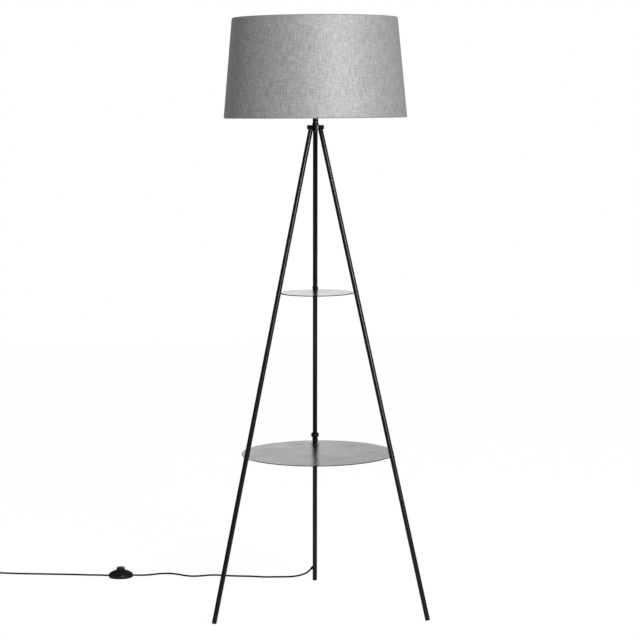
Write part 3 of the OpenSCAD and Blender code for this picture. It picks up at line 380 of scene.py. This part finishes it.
# The cord's two routes, in millimetres, as the CAD has them
SWITCH = (-530, 382.5)
CORD_HOLE = 18
CORD_HOLE_Z = 4
TO_SWITCH = [
    (-10.1, 300.1, 32.88), (-13.7, 301.7, 28.8), (-17.5, 304.2, 24.6), (-21.8, 307.4, 21),
    (-27.2, 311.6, 17.2), (-35, 317.6, 12.9), (-46.5, 325, 8.4), (-61.4, 332.6, 4.9),
    (-77.7, 338, 3.1), (-92.6, 341, 2.5), (-108, 341.9, 2.5), (-124, 341.7, 2.5),
    (-140, 343.2, 2.5), (-157, 348.2, 2.5), (-175, 353.2, 2.5), (-200, 356.8, 2.5),
    (-224, 361.1, 2.5), (-248, 368.2, 2.5), (-271, 374.6, 2.5), (-289, 374, 2.5),
    (-306, 368.8, 2.5), (-322, 364.9, 2.5), (-339, 366.4, 2.5), (-355.5, 375.2, 2.5),
    (-372, 389, 2.5), (-389, 398.9, 2.5), (-406, 403, 2.5), (-422, 401.6, 2.5),
    (-438.5, 395.4, 2.5), (-452, 389.6, 2.5), (-466, 386.2, 2.6), (-481, 384, 3.2),
    (-494, 382.8, 3.8), (-503, 382.5, 4), (SWITCH[0] + CORD_HOLE, SWITCH[1], CORD_HOLE_Z),
]
TO_COIL = [
    (SWITCH[0] - CORD_HOLE, SWITCH[1], CORD_HOLE_Z), (-557, 382.5, 4), (-568, 383.6, 4.3),
    (-582, 387.6, 3.9), (-600, 393.4, 3.2), (-622, 399, 2.6), (-655, 405.8, 2.5), (-690, 411.2, 2.5),
    (-725, 416, 2.5), (-760, 420.6, 2.5), (-795, 425.8, 2.5), (-828, 431.4, 2.5),
    (-870, 438.8, 3),
]
TO_PLUG = [
    (-953.6, 402, 8.2), (-954.4, 392, 6.2), (-954.8, 382, 4), (-955, 371, 2.8), (-955, 360, 2.6),
    (-955, 349, 3.2), (-955, 338, 4.9), (-955, 328, 6.4), (-955, 318, 6.85),
]
COIL_CENTRE = (-916, 410)
COIL_TURNS = 5.25
COIL_START = 82
COIL_RINGS = 24
COIL_GAP = 0.6
COIL_LIFT = 1
TIE_TURN = 45


def coil_route(inner, cord):
    """Turns that spiral in on the floor, climb, and spiral out again on top, in millimetres."""
    step = cord + COIL_GAP
    route = []
    for i in range(int(COIL_TURNS * COIL_RINGS) + 1):
        turn = i / COIL_RINGS
        climb = min(1, max(0, 2 * (turn - COIL_TURNS / 2) + 0.5))
        radius = inner + step * abs(turn - COIL_TURNS / 2)
        way = math.radians(COIL_START + 360 * turn)
        route.append((COIL_CENTRE[0] + radius * math.cos(way),
                      COIL_CENTRE[1] + radius * math.sin(way),
                      cord / 2 + COIL_LIFT + step * climb * climb * (3 - 2 * climb)))
    first, last = (math.radians(COIL_START + 360 * t) for t in (0, COIL_TURNS))
    before = Vector(route[0]) - cord * Vector((-math.sin(first), math.cos(first), 0))
    after = Vector(route[-1]) + cord * Vector((-math.sin(last), math.cos(last), 0))
    return [tuple(before), *route, tuple(after)]


def cord_along(name, route, diameter, material):
    """A round cord on one smooth open curve through the route's points."""
    curve = bpy.data.curves.new(name, "CURVE")
    curve.dimensions = "3D"
    curve.resolution_u = 5
    curve.bevel_depth = diameter / 2
    curve.bevel_resolution = 4
    curve.use_fill_caps = True
    spline = curve.splines.new("BEZIER")
    spline.bezier_points.add(len(route) - 1)
    points = [Vector(p) * MM for p in route]
    for i, knot in enumerate(spline.bezier_points):
        before, after = points[max(i - 1, 0)], points[min(i + 1, len(points) - 1)]
        knot.handle_left_type = knot.handle_right_type = "FREE"
        knot.co = points[i]
        knot.handle_left = points[i] - (after - before) / 6
        knot.handle_right = points[i] + (after - before) / 6
    piece = bpy.data.objects.new(name, curve)
    bpy.context.scene.collection.objects.link(piece)
    curve.materials.append(material)
    return piece


# Operators, one for each piece or group of like pieces

class LAMP_OT_stage(Operator):
    """Sets up the camera, the pale floor and the soft studio light"""
    bl_idname = "lamp.stage"
    bl_label = "Stage and camera"

    def execute(self, context):
        stage = context.scene.lamp_stage
        self.camera(context, stage)
        self.floor(stage)
        self.lights(stage)
        self.world(context, stage)
        context.scene.view_settings.view_transform = "Standard"
        return {"FINISHED"}

    def camera(self, context, stage):
        deselect()
        bpy.ops.object.camera_add(location=stage.camera_place)
        camera = named("lamp_camera")
        heading, pitch, roll = stage.heading, stage.pitch, stage.roll
        right = Vector((math.cos(heading), -math.sin(heading), 0))
        level = Vector((math.sin(heading), math.cos(heading), 0))
        forward = level * math.cos(pitch) - Vector((0, 0, math.sin(pitch)))
        up = right.cross(forward)
        turned_right = right * math.cos(roll) - up * math.sin(roll)
        turned_up = right * math.sin(roll) + up * math.cos(roll)
        place = Matrix((turned_right, turned_up, -forward)).transposed().to_4x4()
        place.translation = Vector(stage.camera_place)
        camera.matrix_world = place
        camera.data.sensor_width = 36
        camera.data.lens = stage.focal_length
        camera.data.clip_end = 100
        context.scene.camera = camera

    def floor(self, stage):
        """A pale floor: the camera sees it lit from within, with a share of its real shadow."""
        wide, deep, middle = 6, 7.2, 2.4
        glow, glowing_share = 1.1, 0.88
        deselect()
        bpy.ops.mesh.primitive_plane_add(size=1, location=(0, middle, 0))
        floor = named("studio_floor")
        floor.scale = (wide, deep, 1)
        material = new_material("Pale studio floor")
        fibre = grain(material, 0.4, detail=2.0)
        sheet = add(material, "ShaderNodeBsdfDiffuse", {
            "Color": (*stage.paper, 1), "Normal": bumped(material, fibre.outputs[0], 0.1 * MM)})
        lit = add(material, "ShaderNodeEmission", {"Color": (*stage.backdrop, 1), "Strength": glow})
        path = add(material, "ShaderNodeLightPath")
        seen = add(material, "ShaderNodeMath", {
            0: path.outputs["Is Camera Ray"], 1: path.outputs["Is Transmission Ray"]},
            operation="MAXIMUM")
        share = add(material, "ShaderNodeMath", {0: seen.outputs[0], 1: glowing_share},
                    operation="MULTIPLY")
        finish_with(material, add(material, "ShaderNodeMixShader", {
            0: share.outputs[0], 1: sheet.outputs[0], 2: lit.outputs[0]}))
        floor.data.materials.append(material)

    def lights(self, stage):
        """One tall soft box, to the right of the camera, from below the shade to well above it."""
        place, aim = Vector((1.64, -3.37, 2.1)), Vector((0, 0, 1))
        deselect()
        bpy.ops.object.light_add(type="AREA", location=place)
        light = named("key_box")
        light.data.shape = "RECTANGLE"
        light.data.size, light.data.size_y = 0.8, 2.4
        light.data.energy = stage.key
        light.rotation_mode = "QUATERNION"
        light.rotation_quaternion = (place - aim).to_track_quat("Z", "Y")

    def world(self, context, stage):
        """Even room light, stronger from the backdrop.

        The camera sees the white backdrop all round. Glossy surfaces see it where it stands: behind
        the lamp, within 15 degrees of straight back.
        """
        world = bpy.data.worlds.new("studio")
        context.scene.world = world
        world.use_nodes = True
        world.node_tree.nodes.clear()
        way = add(world, "ShaderNodeTexCoord").outputs["Generated"]
        back = add(world, "ShaderNodeSeparateXYZ", {0: way}).outputs[1]
        wall = add(world, "ShaderNodeMapRange", {
            "Value": back, "From Min": math.cos(math.radians(15.2)), "From Max": 1.0,
            "To Min": 0.05, "To Max": stage.wall})
        room = add(world, "ShaderNodeMapRange", {
            "Value": back, "From Min": 0.1, "From Max": 0.8,
            "To Min": stage.room, "To Max": 2 * stage.room})
        path = add(world, "ShaderNodeLightPath")
        glossy = add(world, "ShaderNodeMix", {
            0: path.outputs["Is Glossy Ray"], 2: room.outputs[0], 3: wall.outputs[0]}, data_type="FLOAT")
        clear = add(world, "ShaderNodeMath", {
            0: path.outputs["Is Camera Ray"], 1: path.outputs["Is Transmission Ray"]},
            operation="MAXIMUM")
        strength = add(world, "ShaderNodeMix", {
            0: clear.outputs[0], 2: glossy.outputs[0], 3: 1.0}, data_type="FLOAT")
        background = add(world, "ShaderNodeBackground", {
            "Color": (*stage.backdrop, 1), "Strength": strength.outputs[0]})
        add(world, "ShaderNodeOutputWorld", {"Surface": background.outputs[0]})


class LAMP_OT_cords(Operator):
    """Lays the cord from the rear leg to the switch, and on through its coil to the plug"""
    bl_idname = "lamp.cords"
    bl_label = "Cords"

    def execute(self, context):
        sizes, colours = context.scene.lamp_sizes, context.scene.lamp_colours
        sheath = pvc_sheath("PVC sheath", colours.cord)
        coil = coil_route(sizes.coil_radius / MM, sizes.cord / MM)
        on = TO_COIL + coil + TO_PLUG
        first = cord_along("cord_leg_to_switch", TO_SWITCH, sizes.cord, sheath)
        second = cord_along("cord_switch_to_plug", on, sizes.cord, sheath)
        for piece, nodes in ((first, ["cord_to_switch"]),
                             (second, ["cord_to_coil", "cord_coil", "cord_tail"])):
            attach(piece, "lamp")
            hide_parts(*nodes)
        dress(sheath, "cord_in_leg", "cord_grommet")
        return {"FINISHED"}


# Where the cloth's seam is, in degrees from +X towards +Y
SEAM_WAY = 118


class LAMP_OT_shade_cloth(Operator):
    """Makes the shade's cloth with its rolled hems, and the seam that closes it"""
    bl_idname = "lamp.shade_cloth"
    bl_label = "Shade cloth"

    def execute(self, context):
        sizes, colours = context.scene.lamp_sizes, context.scene.lamp_colours
        linen = slub_linen("Slub linen cloth", colours.cloth_dark, colours.cloth_light)
        low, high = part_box("shade_fabric")
        cloth = self.cloth(sizes, low.z, high.z)
        seam = self.seam(sizes, low.z, high.z)
        for piece in (cloth, seam):
            self.measure_cloth(piece, sizes)
            settle(piece, linen, 60)
            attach(piece, "lamp")
        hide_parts("shade_fabric")
        return {"FINISHED"}

    def cloth(self, sizes, bottom, top):
        """One sheet: up the outside, with its edges rolled inwards round the two wires."""
        slack = 0.15 * MM
        roll = sizes.shade_wire + sizes.cloth / 2 + slack
        lean = (sizes.shade_bottom_radius - sizes.shade_top_radius) / (top - bottom)
        inset = roll * math.hypot(1, lean)
        low_wire, high_wire = [
            (high.y - sizes.shade_wire, (low.z + high.z) / 2)
            for low, high in (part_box("shade_bottom_wire"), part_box("shade_top_wire"))]
        tilt = math.degrees(math.atan(lean))
        wall = [(low_wire[0] + inset - t * (low_wire[0] - high_wire[0]),
                 low_wire[1] + t * (high_wire[1] - low_wire[1])) for t in (0.1, 0.3, 0.5, 0.7, 0.9)]
        outline = arc(low_wire, roll, 100, 360 + tilt, 20) + wall + arc(high_wire, roll, tilt, 260, 20)
        piece = lathe("shade_cloth", outline, steps=sizes.shade_steps, closed=False)
        return modify(piece, "SOLIDIFY", thickness=sizes.cloth, offset=0, use_even_offset=True)

    def seam(self, sizes, bottom, top):
        """The overlap: a narrow second layer of the cloth from edge to edge, at the back."""
        edge, proud, thickness = 1.5 * MM, 0.3 * MM, 0.7 * MM
        draw_in = sizes.shade_top_radius - sizes.shade_bottom_radius
        deselect()
        bpy.ops.mesh.primitive_grid_add(x_subdivisions=4, y_subdivisions=24, size=1)
        piece = named("shade_seam")
        for point in piece.data.vertices:
            rise = point.co.y + 0.5
            height = bottom + edge + rise * (top - bottom - 2 * edge)
            share = (height - bottom) / (top - bottom)
            radius = sizes.shade_bottom_radius + share * draw_in + proud
            way = math.radians(SEAM_WAY) + point.co.x * sizes.seam_width / radius
            point.co = (radius * math.cos(way), radius * math.sin(way), height)
        return modify(piece, "SOLIDIFY", thickness=thickness, offset=0)

    def measure_cloth(self, piece, sizes):
        """A UV map in metres: round the shade along u, up it along v."""
        mesh = piece.data
        for layer in list(mesh.uv_layers):
            mesh.uv_layers.remove(layer)
        uv = mesh.uv_layers.new(name="cloth")
        reach = (sizes.shade_top_radius + sizes.shade_bottom_radius) / 2
        for face in mesh.polygons:
            ways = [math.atan2(mesh.vertices[v].co.y, mesh.vertices[v].co.x) for v in face.vertices]
            for corner, vertex, way in zip(face.loop_indices, face.vertices, ways):
                near = way - 2 * math.pi * round((way - ways[0]) / (2 * math.pi))
                uv.data[corner].uv = (near * reach, mesh.vertices[vertex].co.z)


class LAMP_OT_shade_frame(Operator):
    """Finishes the shade's liner, wires and spider"""
    bl_idname = "lamp.shade_frame"
    bl_label = "Shade frame"

    def execute(self, context):
        colours = context.scene.lamp_colours
        wire = painted_steel("White baked paint", colours.wire, roughness=0.4, peel=1.2 * MM,
                             depth=0.02 * MM)
        dress(wire, "shade_top_wire", "shade_bottom_wire", "shade_spider")
        dress(pvc_liner("White PVC liner", colours.liner), "shade_liner")
        return {"FINISHED"}


class LAMP_OT_metalwork(Operator):
    """Paints the hub, stem, legs and shelves, and finishes the joints inside them"""
    bl_idname = "lamp.metalwork"
    bl_label = "Metalwork"

    def execute(self, context):
        colours = context.scene.lamp_colours
        paint = painted_steel("Satin black paint", colours.paint, roughness=0.24, peel=2.5 * MM,
                              depth=0.003 * MM)
        legs = [f"{side}_leg_{part}" for side in ("left", "right", "rear")
                for part in ("top", "middle", "bottom")]
        dress(paint, "hub_body", "hub_lid", "hub_dome_nut", "stem_collar", "stem_tube",
              "rear_leg_collar", *legs)
        shelf = painted_steel("Semi-gloss black paint", colours.shelf, roughness=0.25, peel=6 * MM,
                              depth=0.0006 * MM)
        dress(shelf, "upper_shelf", "lower_shelf")
        dress(plated_metal("Bright zinc", colours.zinc, roughness=0.32), "stem_pipe", "front_leg_studs",
              "rear_leg_nipples", "front_leg_bushes", "rear_leg_bushes", "collar_grub_screw")
        rubber = moulded_plastic("Moulded rubber", colours.cord, roughness=0.6)
        dress(rubber, "left_foot", "right_foot", "rear_foot")
        return {"FINISHED"}


class LAMP_OT_lampholder(Operator):
    """Finishes the lampholder and its contacts"""
    bl_idname = "lamp.lampholder"
    bl_label = "Lampholder"

    def execute(self, context):
        colours = context.scene.lamp_colours
        bakelite = moulded_plastic("Black thermoset", colours.plastic, roughness=0.34)
        dress(bakelite, "holder_cap", "holder_body", "shade_ring")
        dress(moulded_plastic("Unglazed porcelain", colours.ceramic, roughness=0.5), "holder_insert")
        brass = plated_metal("Drawn brass", colours.brass, roughness=0.28)
        dress(brass, "holder_shell", "centre_contact", "terminal_screws", "switch_contacts")
        sleeving = moulded_plastic("Varnished glass sleeving", colours.sleeving, roughness=0.45)
        dress(sleeving, "lamp_leads")
        return {"FINISHED"}


class LAMP_OT_bulb(Operator):
    """Finishes the bulb's opal globe, white housing and screw cap"""
    bl_idname = "lamp.bulb"
    bl_label = "Bulb"

    def execute(self, context):
        colours = context.scene.lamp_colours
        dress(opal_glass("Opal glass", colours.opal), "bulb_globe")
        dress(moulded_plastic("White moulded plastic", colours.opal, roughness=0.3), "bulb_housing")
        dress(plated_metal("Nickelled cap", colours.nickel, roughness=0.25), "bulb_cap")
        dress(moulded_plastic("Black insulator", colours.plastic, roughness=0.4), "bulb_insulator")
        dress(plated_metal("Brass tip", colours.brass, roughness=0.25), "bulb_contact")
        return {"FINISHED"}


class LAMP_OT_foot_switch(Operator):
    """Makes the switch's domed shell and its push button, and finishes its base and works"""
    bl_idname = "lamp.foot_switch"
    bl_label = "Foot switch"

    def execute(self, context):
        sizes, colours = context.scene.lamp_sizes, context.scene.lamp_colours
        plastic = moulded_plastic("Black moulded plastic", colours.plastic, roughness=0.42)
        shell = self.shell(sizes)
        button = self.button(sizes)
        for piece, body, nodes in ((shell, "lamp", ["switch_cover"]),
                                   (button, "switch_button", ["switch_button"])):
            settle(piece, plastic, 40)
            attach(piece, body)
            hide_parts(*nodes)
        dress(plastic, "switch_base", "switch_clamps")
        zinc = plated_metal("Zinc screws and spring", colours.zinc, roughness=0.3)
        dress(zinc, "switch_screws")
        self.spring(sizes, zinc)
        return {"FINISHED"}

    def shell(self, sizes):
        """A dome: an upright rim, a rounded shoulder, a low crown and a soft lip round the button."""
        play = 0.1 * MM
        radius, wall, shoulder = sizes.switch_radius, sizes.switch_wall, sizes.switch_shoulder
        run, rise = radius - shoulder, sizes.switch_crown - sizes.switch_rim - shoulder
        dome = (run * run / rise + rise) / 2 + shoulder
        deep = sizes.switch_crown - dome
        turn = math.degrees(math.atan2(sizes.switch_rim - deep, run))
        hole = sizes.button_radius + sizes.button_gap

        def skin(inset):
            top = math.degrees(math.acos(hole / (dome - inset)))
            return (arc((run, sizes.switch_rim), shoulder - inset, 0, turn, 8)
                    + arc((0, deep), dome - inset, turn, top, 12)[1:])

        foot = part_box("switch_cover")[0].z
        outline = [(radius - wall, foot), (radius, foot)] + skin(0) + skin(wall)[::-1]
        piece = lathe("switch_shell", outline, [c * MM for c in SWITCH], steps=128)
        modify(piece, "BEVEL", width=0.35 * MM, segments=3, limit_method="ANGLE",
               angle_limit=math.radians(40))
        deselect()
        bpy.ops.mesh.primitive_cylinder_add(
            vertices=32, radius=sizes.cord / 2 + play, depth=3 * radius,
            location=Vector((*SWITCH, CORD_HOLE_Z)) * MM, rotation=(0, math.pi / 2, 0))
        bore = named("cord_bore")
        modify(piece, "BOOLEAN", operation="DIFFERENCE", object=bore, solver="EXACT")
        bpy.data.objects.remove(bore)
        return piece

    def button(self, sizes):
        """A push button with a shallow dish in its top, a raised ring and a rounded edge."""
        low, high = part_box("switch_button")
        radius, top = sizes.button_radius, high.z
        wall, crown, edge = 1.8 * MM, 3 * MM, 1.2 * MM
        dish = [(out * MM, top - deep * MM) for out, deep in ((0, 0.9), (4, 0.8), (7.2, 0.5), (8.2, 0))]
        side = arc((radius - edge, top - edge), edge, 90, 0, 5)
        skirt = [(radius, low.z), (radius - wall, low.z), (radius - wall, top - crown), (0, top - crown)]
        piece = lathe("push_button", dish + side + skirt, [c * MM for c in SWITCH], closed=False)
        return modify(piece, "BEVEL", width=0.25 * MM, segments=2, limit_method="ANGLE",
                      angle_limit=math.radians(35))

    def spring(self, sizes, zinc):
        """The spring under the button: a coil of wire whose foot stays put."""
        low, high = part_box("switch_spring")
        wire, curls = sizes.spring_wire / 2, 5
        tall = high.z - low.z
        place = Vector((*SWITCH, 0)) * MM
        deselect()
        bpy.ops.mesh.primitive_circle_add(
            vertices=10, radius=wire, location=((high.x - low.x) / 2 - wire, 0, low.z + wire),
            rotation=(math.pi / 2, 0, 0))
        spring = named("button_spring")
        bpy.ops.object.transform_apply(location=True, rotation=True, scale=True)
        modify(spring, "SCREW", axis="Z", angle=2 * math.pi, screw_offset=(tall - 2 * wire) / curls,
               iterations=curls, steps=28, render_steps=28, use_normal_calculate=True)
        bpy.ops.object.mode_set(mode="EDIT")
        bpy.ops.mesh.select_all(action="SELECT")
        bpy.ops.mesh.fill_holes(sides=0)
        bpy.ops.mesh.select_all(action="SELECT")
        bpy.ops.mesh.normals_make_consistent(inside=False)
        bpy.ops.object.mode_set(mode="OBJECT")
        spring.location = place
        settle(spring, zinc, 60)
        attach(spring, "lamp")
        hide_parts("switch_spring")
        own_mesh(spring)


class LAMP_OT_plug(Operator):
    """Makes the moulded two-pin plug with its ribbed strain relief, and finishes its pins"""
    bl_idname = "lamp.plug"
    bl_label = "Plug"

    def execute(self, context):
        sizes, colours = context.scene.lamp_sizes, context.scene.lamp_colours
        low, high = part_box("plug_body")
        centre = (low + high) / 2
        front, neck_y = low.y, low.y + sizes.plug_length
        deselect()
        bpy.ops.mesh.primitive_cube_add(size=1, location=(centre.x, (front + neck_y) / 2, centre.z))
        plug = named("plug_moulding")
        plug.scale = (sizes.plug_width, neck_y - front, high.z - low.z)
        bpy.ops.object.transform_apply(location=False, rotation=False, scale=True)
        bpy.ops.object.mode_set(mode="EDIT")
        bpy.ops.mesh.bisect(plane_co=(0, front + sizes.plug_block, 0), plane_no=(0, 1, 0))
        work = bmesh.from_edit_mesh(plug.data)
        for point in work.verts:
            if (point.co + plug.location).y > neck_y - MM:
                point.co.x *= sizes.plug_neck / (sizes.plug_width / 2)
        bmesh.update_edit_mesh(plug.data)
        bpy.ops.object.mode_set(mode="OBJECT")
        modify(plug, "BEVEL", width=sizes.plug_edge, segments=4, limit_method="ANGLE",
               angle_limit=math.radians(30))
        self.relief(plug, centre, neck_y, high.y, sizes)
        settle(plug, moulded_plastic("Black moulded plug", colours.plastic, roughness=0.42), 35)
        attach(plug, "lamp")
        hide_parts("plug_body")
        dress(plated_metal("Nickelled pins", colours.nickel, roughness=0.2), "plug_pins")
        return {"FINISHED"}

    def relief(self, plug, centre, start, end, sizes):
        """A tapered sleeve with grooves round it, joined to the plug's neck."""
        ribs, rib_share, groove = 5, 0.62, 0.9 * MM
        thick, thin, sunk = sizes.plug_neck, 3.2 * MM, 2 * MM
        reach = end - start
        bore = sizes.cord / 2 + 0.15 * MM
        thinnest = bore + 0.3 * MM
        outline = [(bore, -sunk), (thick - 0.2 * MM, -sunk)]
        for i in range(ribs):
            for share, depth in ((0, 0), (rib_share, 0), (rib_share, groove), (1, groove)):
                along = (i + share) / ribs
                radius = thick + (thin - thick) * along - depth * (1 - 0.4 * along)
                outline.append((max(radius, thinnest), along * reach))
        outline.append((bore, reach))
        sleeve = lathe("plug_relief", outline, steps=48)
        modify(sleeve, "BEVEL", width=0.2 * MM, segments=2, limit_method="ANGLE",
               angle_limit=math.radians(40))
        sleeve.matrix_world = (Matrix.Translation((centre.x, start, centre.z))
                               @ Matrix.Rotation(math.radians(-90), 4, "X"))
        pick(sleeve)
        bpy.ops.object.transform_apply(location=True, rotation=True, scale=True)
        pick(plug)
        sleeve.select_set(True)
        bpy.ops.object.join()


class LAMP_OT_coil_tie(Operator):
    """Wraps the hook-and-loop strap round the coil"""
    bl_idname = "lamp.coil_tie"
    bl_label = "Coil tie"

    def execute(self, context):
        sizes, colours = context.scene.lamp_sizes, context.scene.lamp_colours
        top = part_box("cord_tie")[1].z
        way = math.radians(COIL_START + TIE_TURN)
        inner_turn, outer_turn = 0.5, 2.5
        room_inside, room_outside, bend = 1.8 * MM, 1.1 * MM, 2.4 * MM
        step = sizes.cord + COIL_GAP * MM
        inner = sizes.coil_radius + inner_turn * step - sizes.cord / 2 - room_inside
        outer = sizes.coil_radius + outer_turn * step + sizes.cord / 2 + room_outside
        deselect()
        bpy.ops.mesh.primitive_cube_add(size=1, location=((inner + outer) / 2, 0, top / 2))
        tie = named("coil_tie")
        tie.scale = (outer - inner, sizes.strap_width, top)
        bpy.ops.object.transform_apply(location=True, rotation=False, scale=True)
        bpy.ops.object.mode_set(mode="EDIT")
        work = bmesh.from_edit_mesh(tie.data)
        ends = [f for f in work.faces if abs(f.normal.y) > 0.9]
        bmesh.ops.delete(work, geom=ends, context="FACES_ONLY")
        corners = [e for e in work.edges
                   if abs((e.verts[0].co - e.verts[1].co).normalized().y) > 0.9]
        bmesh.ops.bevel(work, geom=corners, offset=bend, segments=5, affect="EDGES", profile=0.5)
        bmesh.update_edit_mesh(tie.data)
        bpy.ops.object.mode_set(mode="OBJECT")
        modify(tie, "SOLIDIFY", thickness=sizes.strap, offset=-1)
        modify(tie, "BEVEL", width=0.15 * MM, segments=2, limit_method="ANGLE",
               angle_limit=math.radians(50))
        tie.matrix_world = (Matrix.Translation(Vector((*COIL_CENTRE, 0)) * MM)
                            @ Matrix.Rotation(way, 4, "Z"))
        strap = new_material("Hook-and-loop nylon")
        pile = grain(strap, 0.35 * MM, detail=2.0)
        finish_with(strap, add(strap, "ShaderNodeBsdfPrincipled", {
            "Base Color": (*colours.cord, 1), "Roughness": 0.85, "Sheen Weight": 0.2,
            "Normal": bumped(strap, pile.outputs[0], 0.12 * MM)}))
        settle(tie, strap, 40)
        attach(tie, "lamp")
        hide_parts("cord_tie")
        return {"FINISHED"}


STEPS = (LAMP_OT_stage, LAMP_OT_foot_switch, LAMP_OT_plug, LAMP_OT_coil_tie, LAMP_OT_cords,
         LAMP_OT_shade_cloth, LAMP_OT_shade_frame, LAMP_OT_metalwork, LAMP_OT_lampholder, LAMP_OT_bulb)


class LAMP_PT_pieces(Panel):
    """Lists the lamp's pieces, each with its button"""
    bl_idname = "LAMP_PT_pieces"
    bl_label = "Floor lamp"
    bl_space_type = "VIEW_3D"
    bl_region_type = "UI"
    bl_category = "Lamp"

    def draw(self, context):
        for group in (context.scene.lamp_stage, context.scene.lamp_sizes, context.scene.lamp_colours):
            box = self.layout.box()
            for name in group.__annotations__:
                box.prop(group, name)
        for step in STEPS:
            self.layout.operator(step.bl_idname)


GROUPS = {"lamp_stage": LampStage, "lamp_sizes": LampSizes, "lamp_colours": LampColours}


def register():
    for kind in (*GROUPS.values(), *STEPS, LAMP_PT_pieces):
        bpy.utils.register_class(kind)
    for name, group in GROUPS.items():
        setattr(bpy.types.Scene, name, PointerProperty(type=group))


def unregister():
    for name in GROUPS:
        delattr(bpy.types.Scene, name)
    for kind in (LAMP_PT_pieces, *reversed(STEPS), *GROUPS.values()):
        bpy.utils.unregister_class(kind)


def main():
    register()
    for step in STEPS:
        area, name = step.bl_idname.split(".")
        getattr(getattr(bpy.ops, area), name)()


if __name__ == "__main__":
    main()
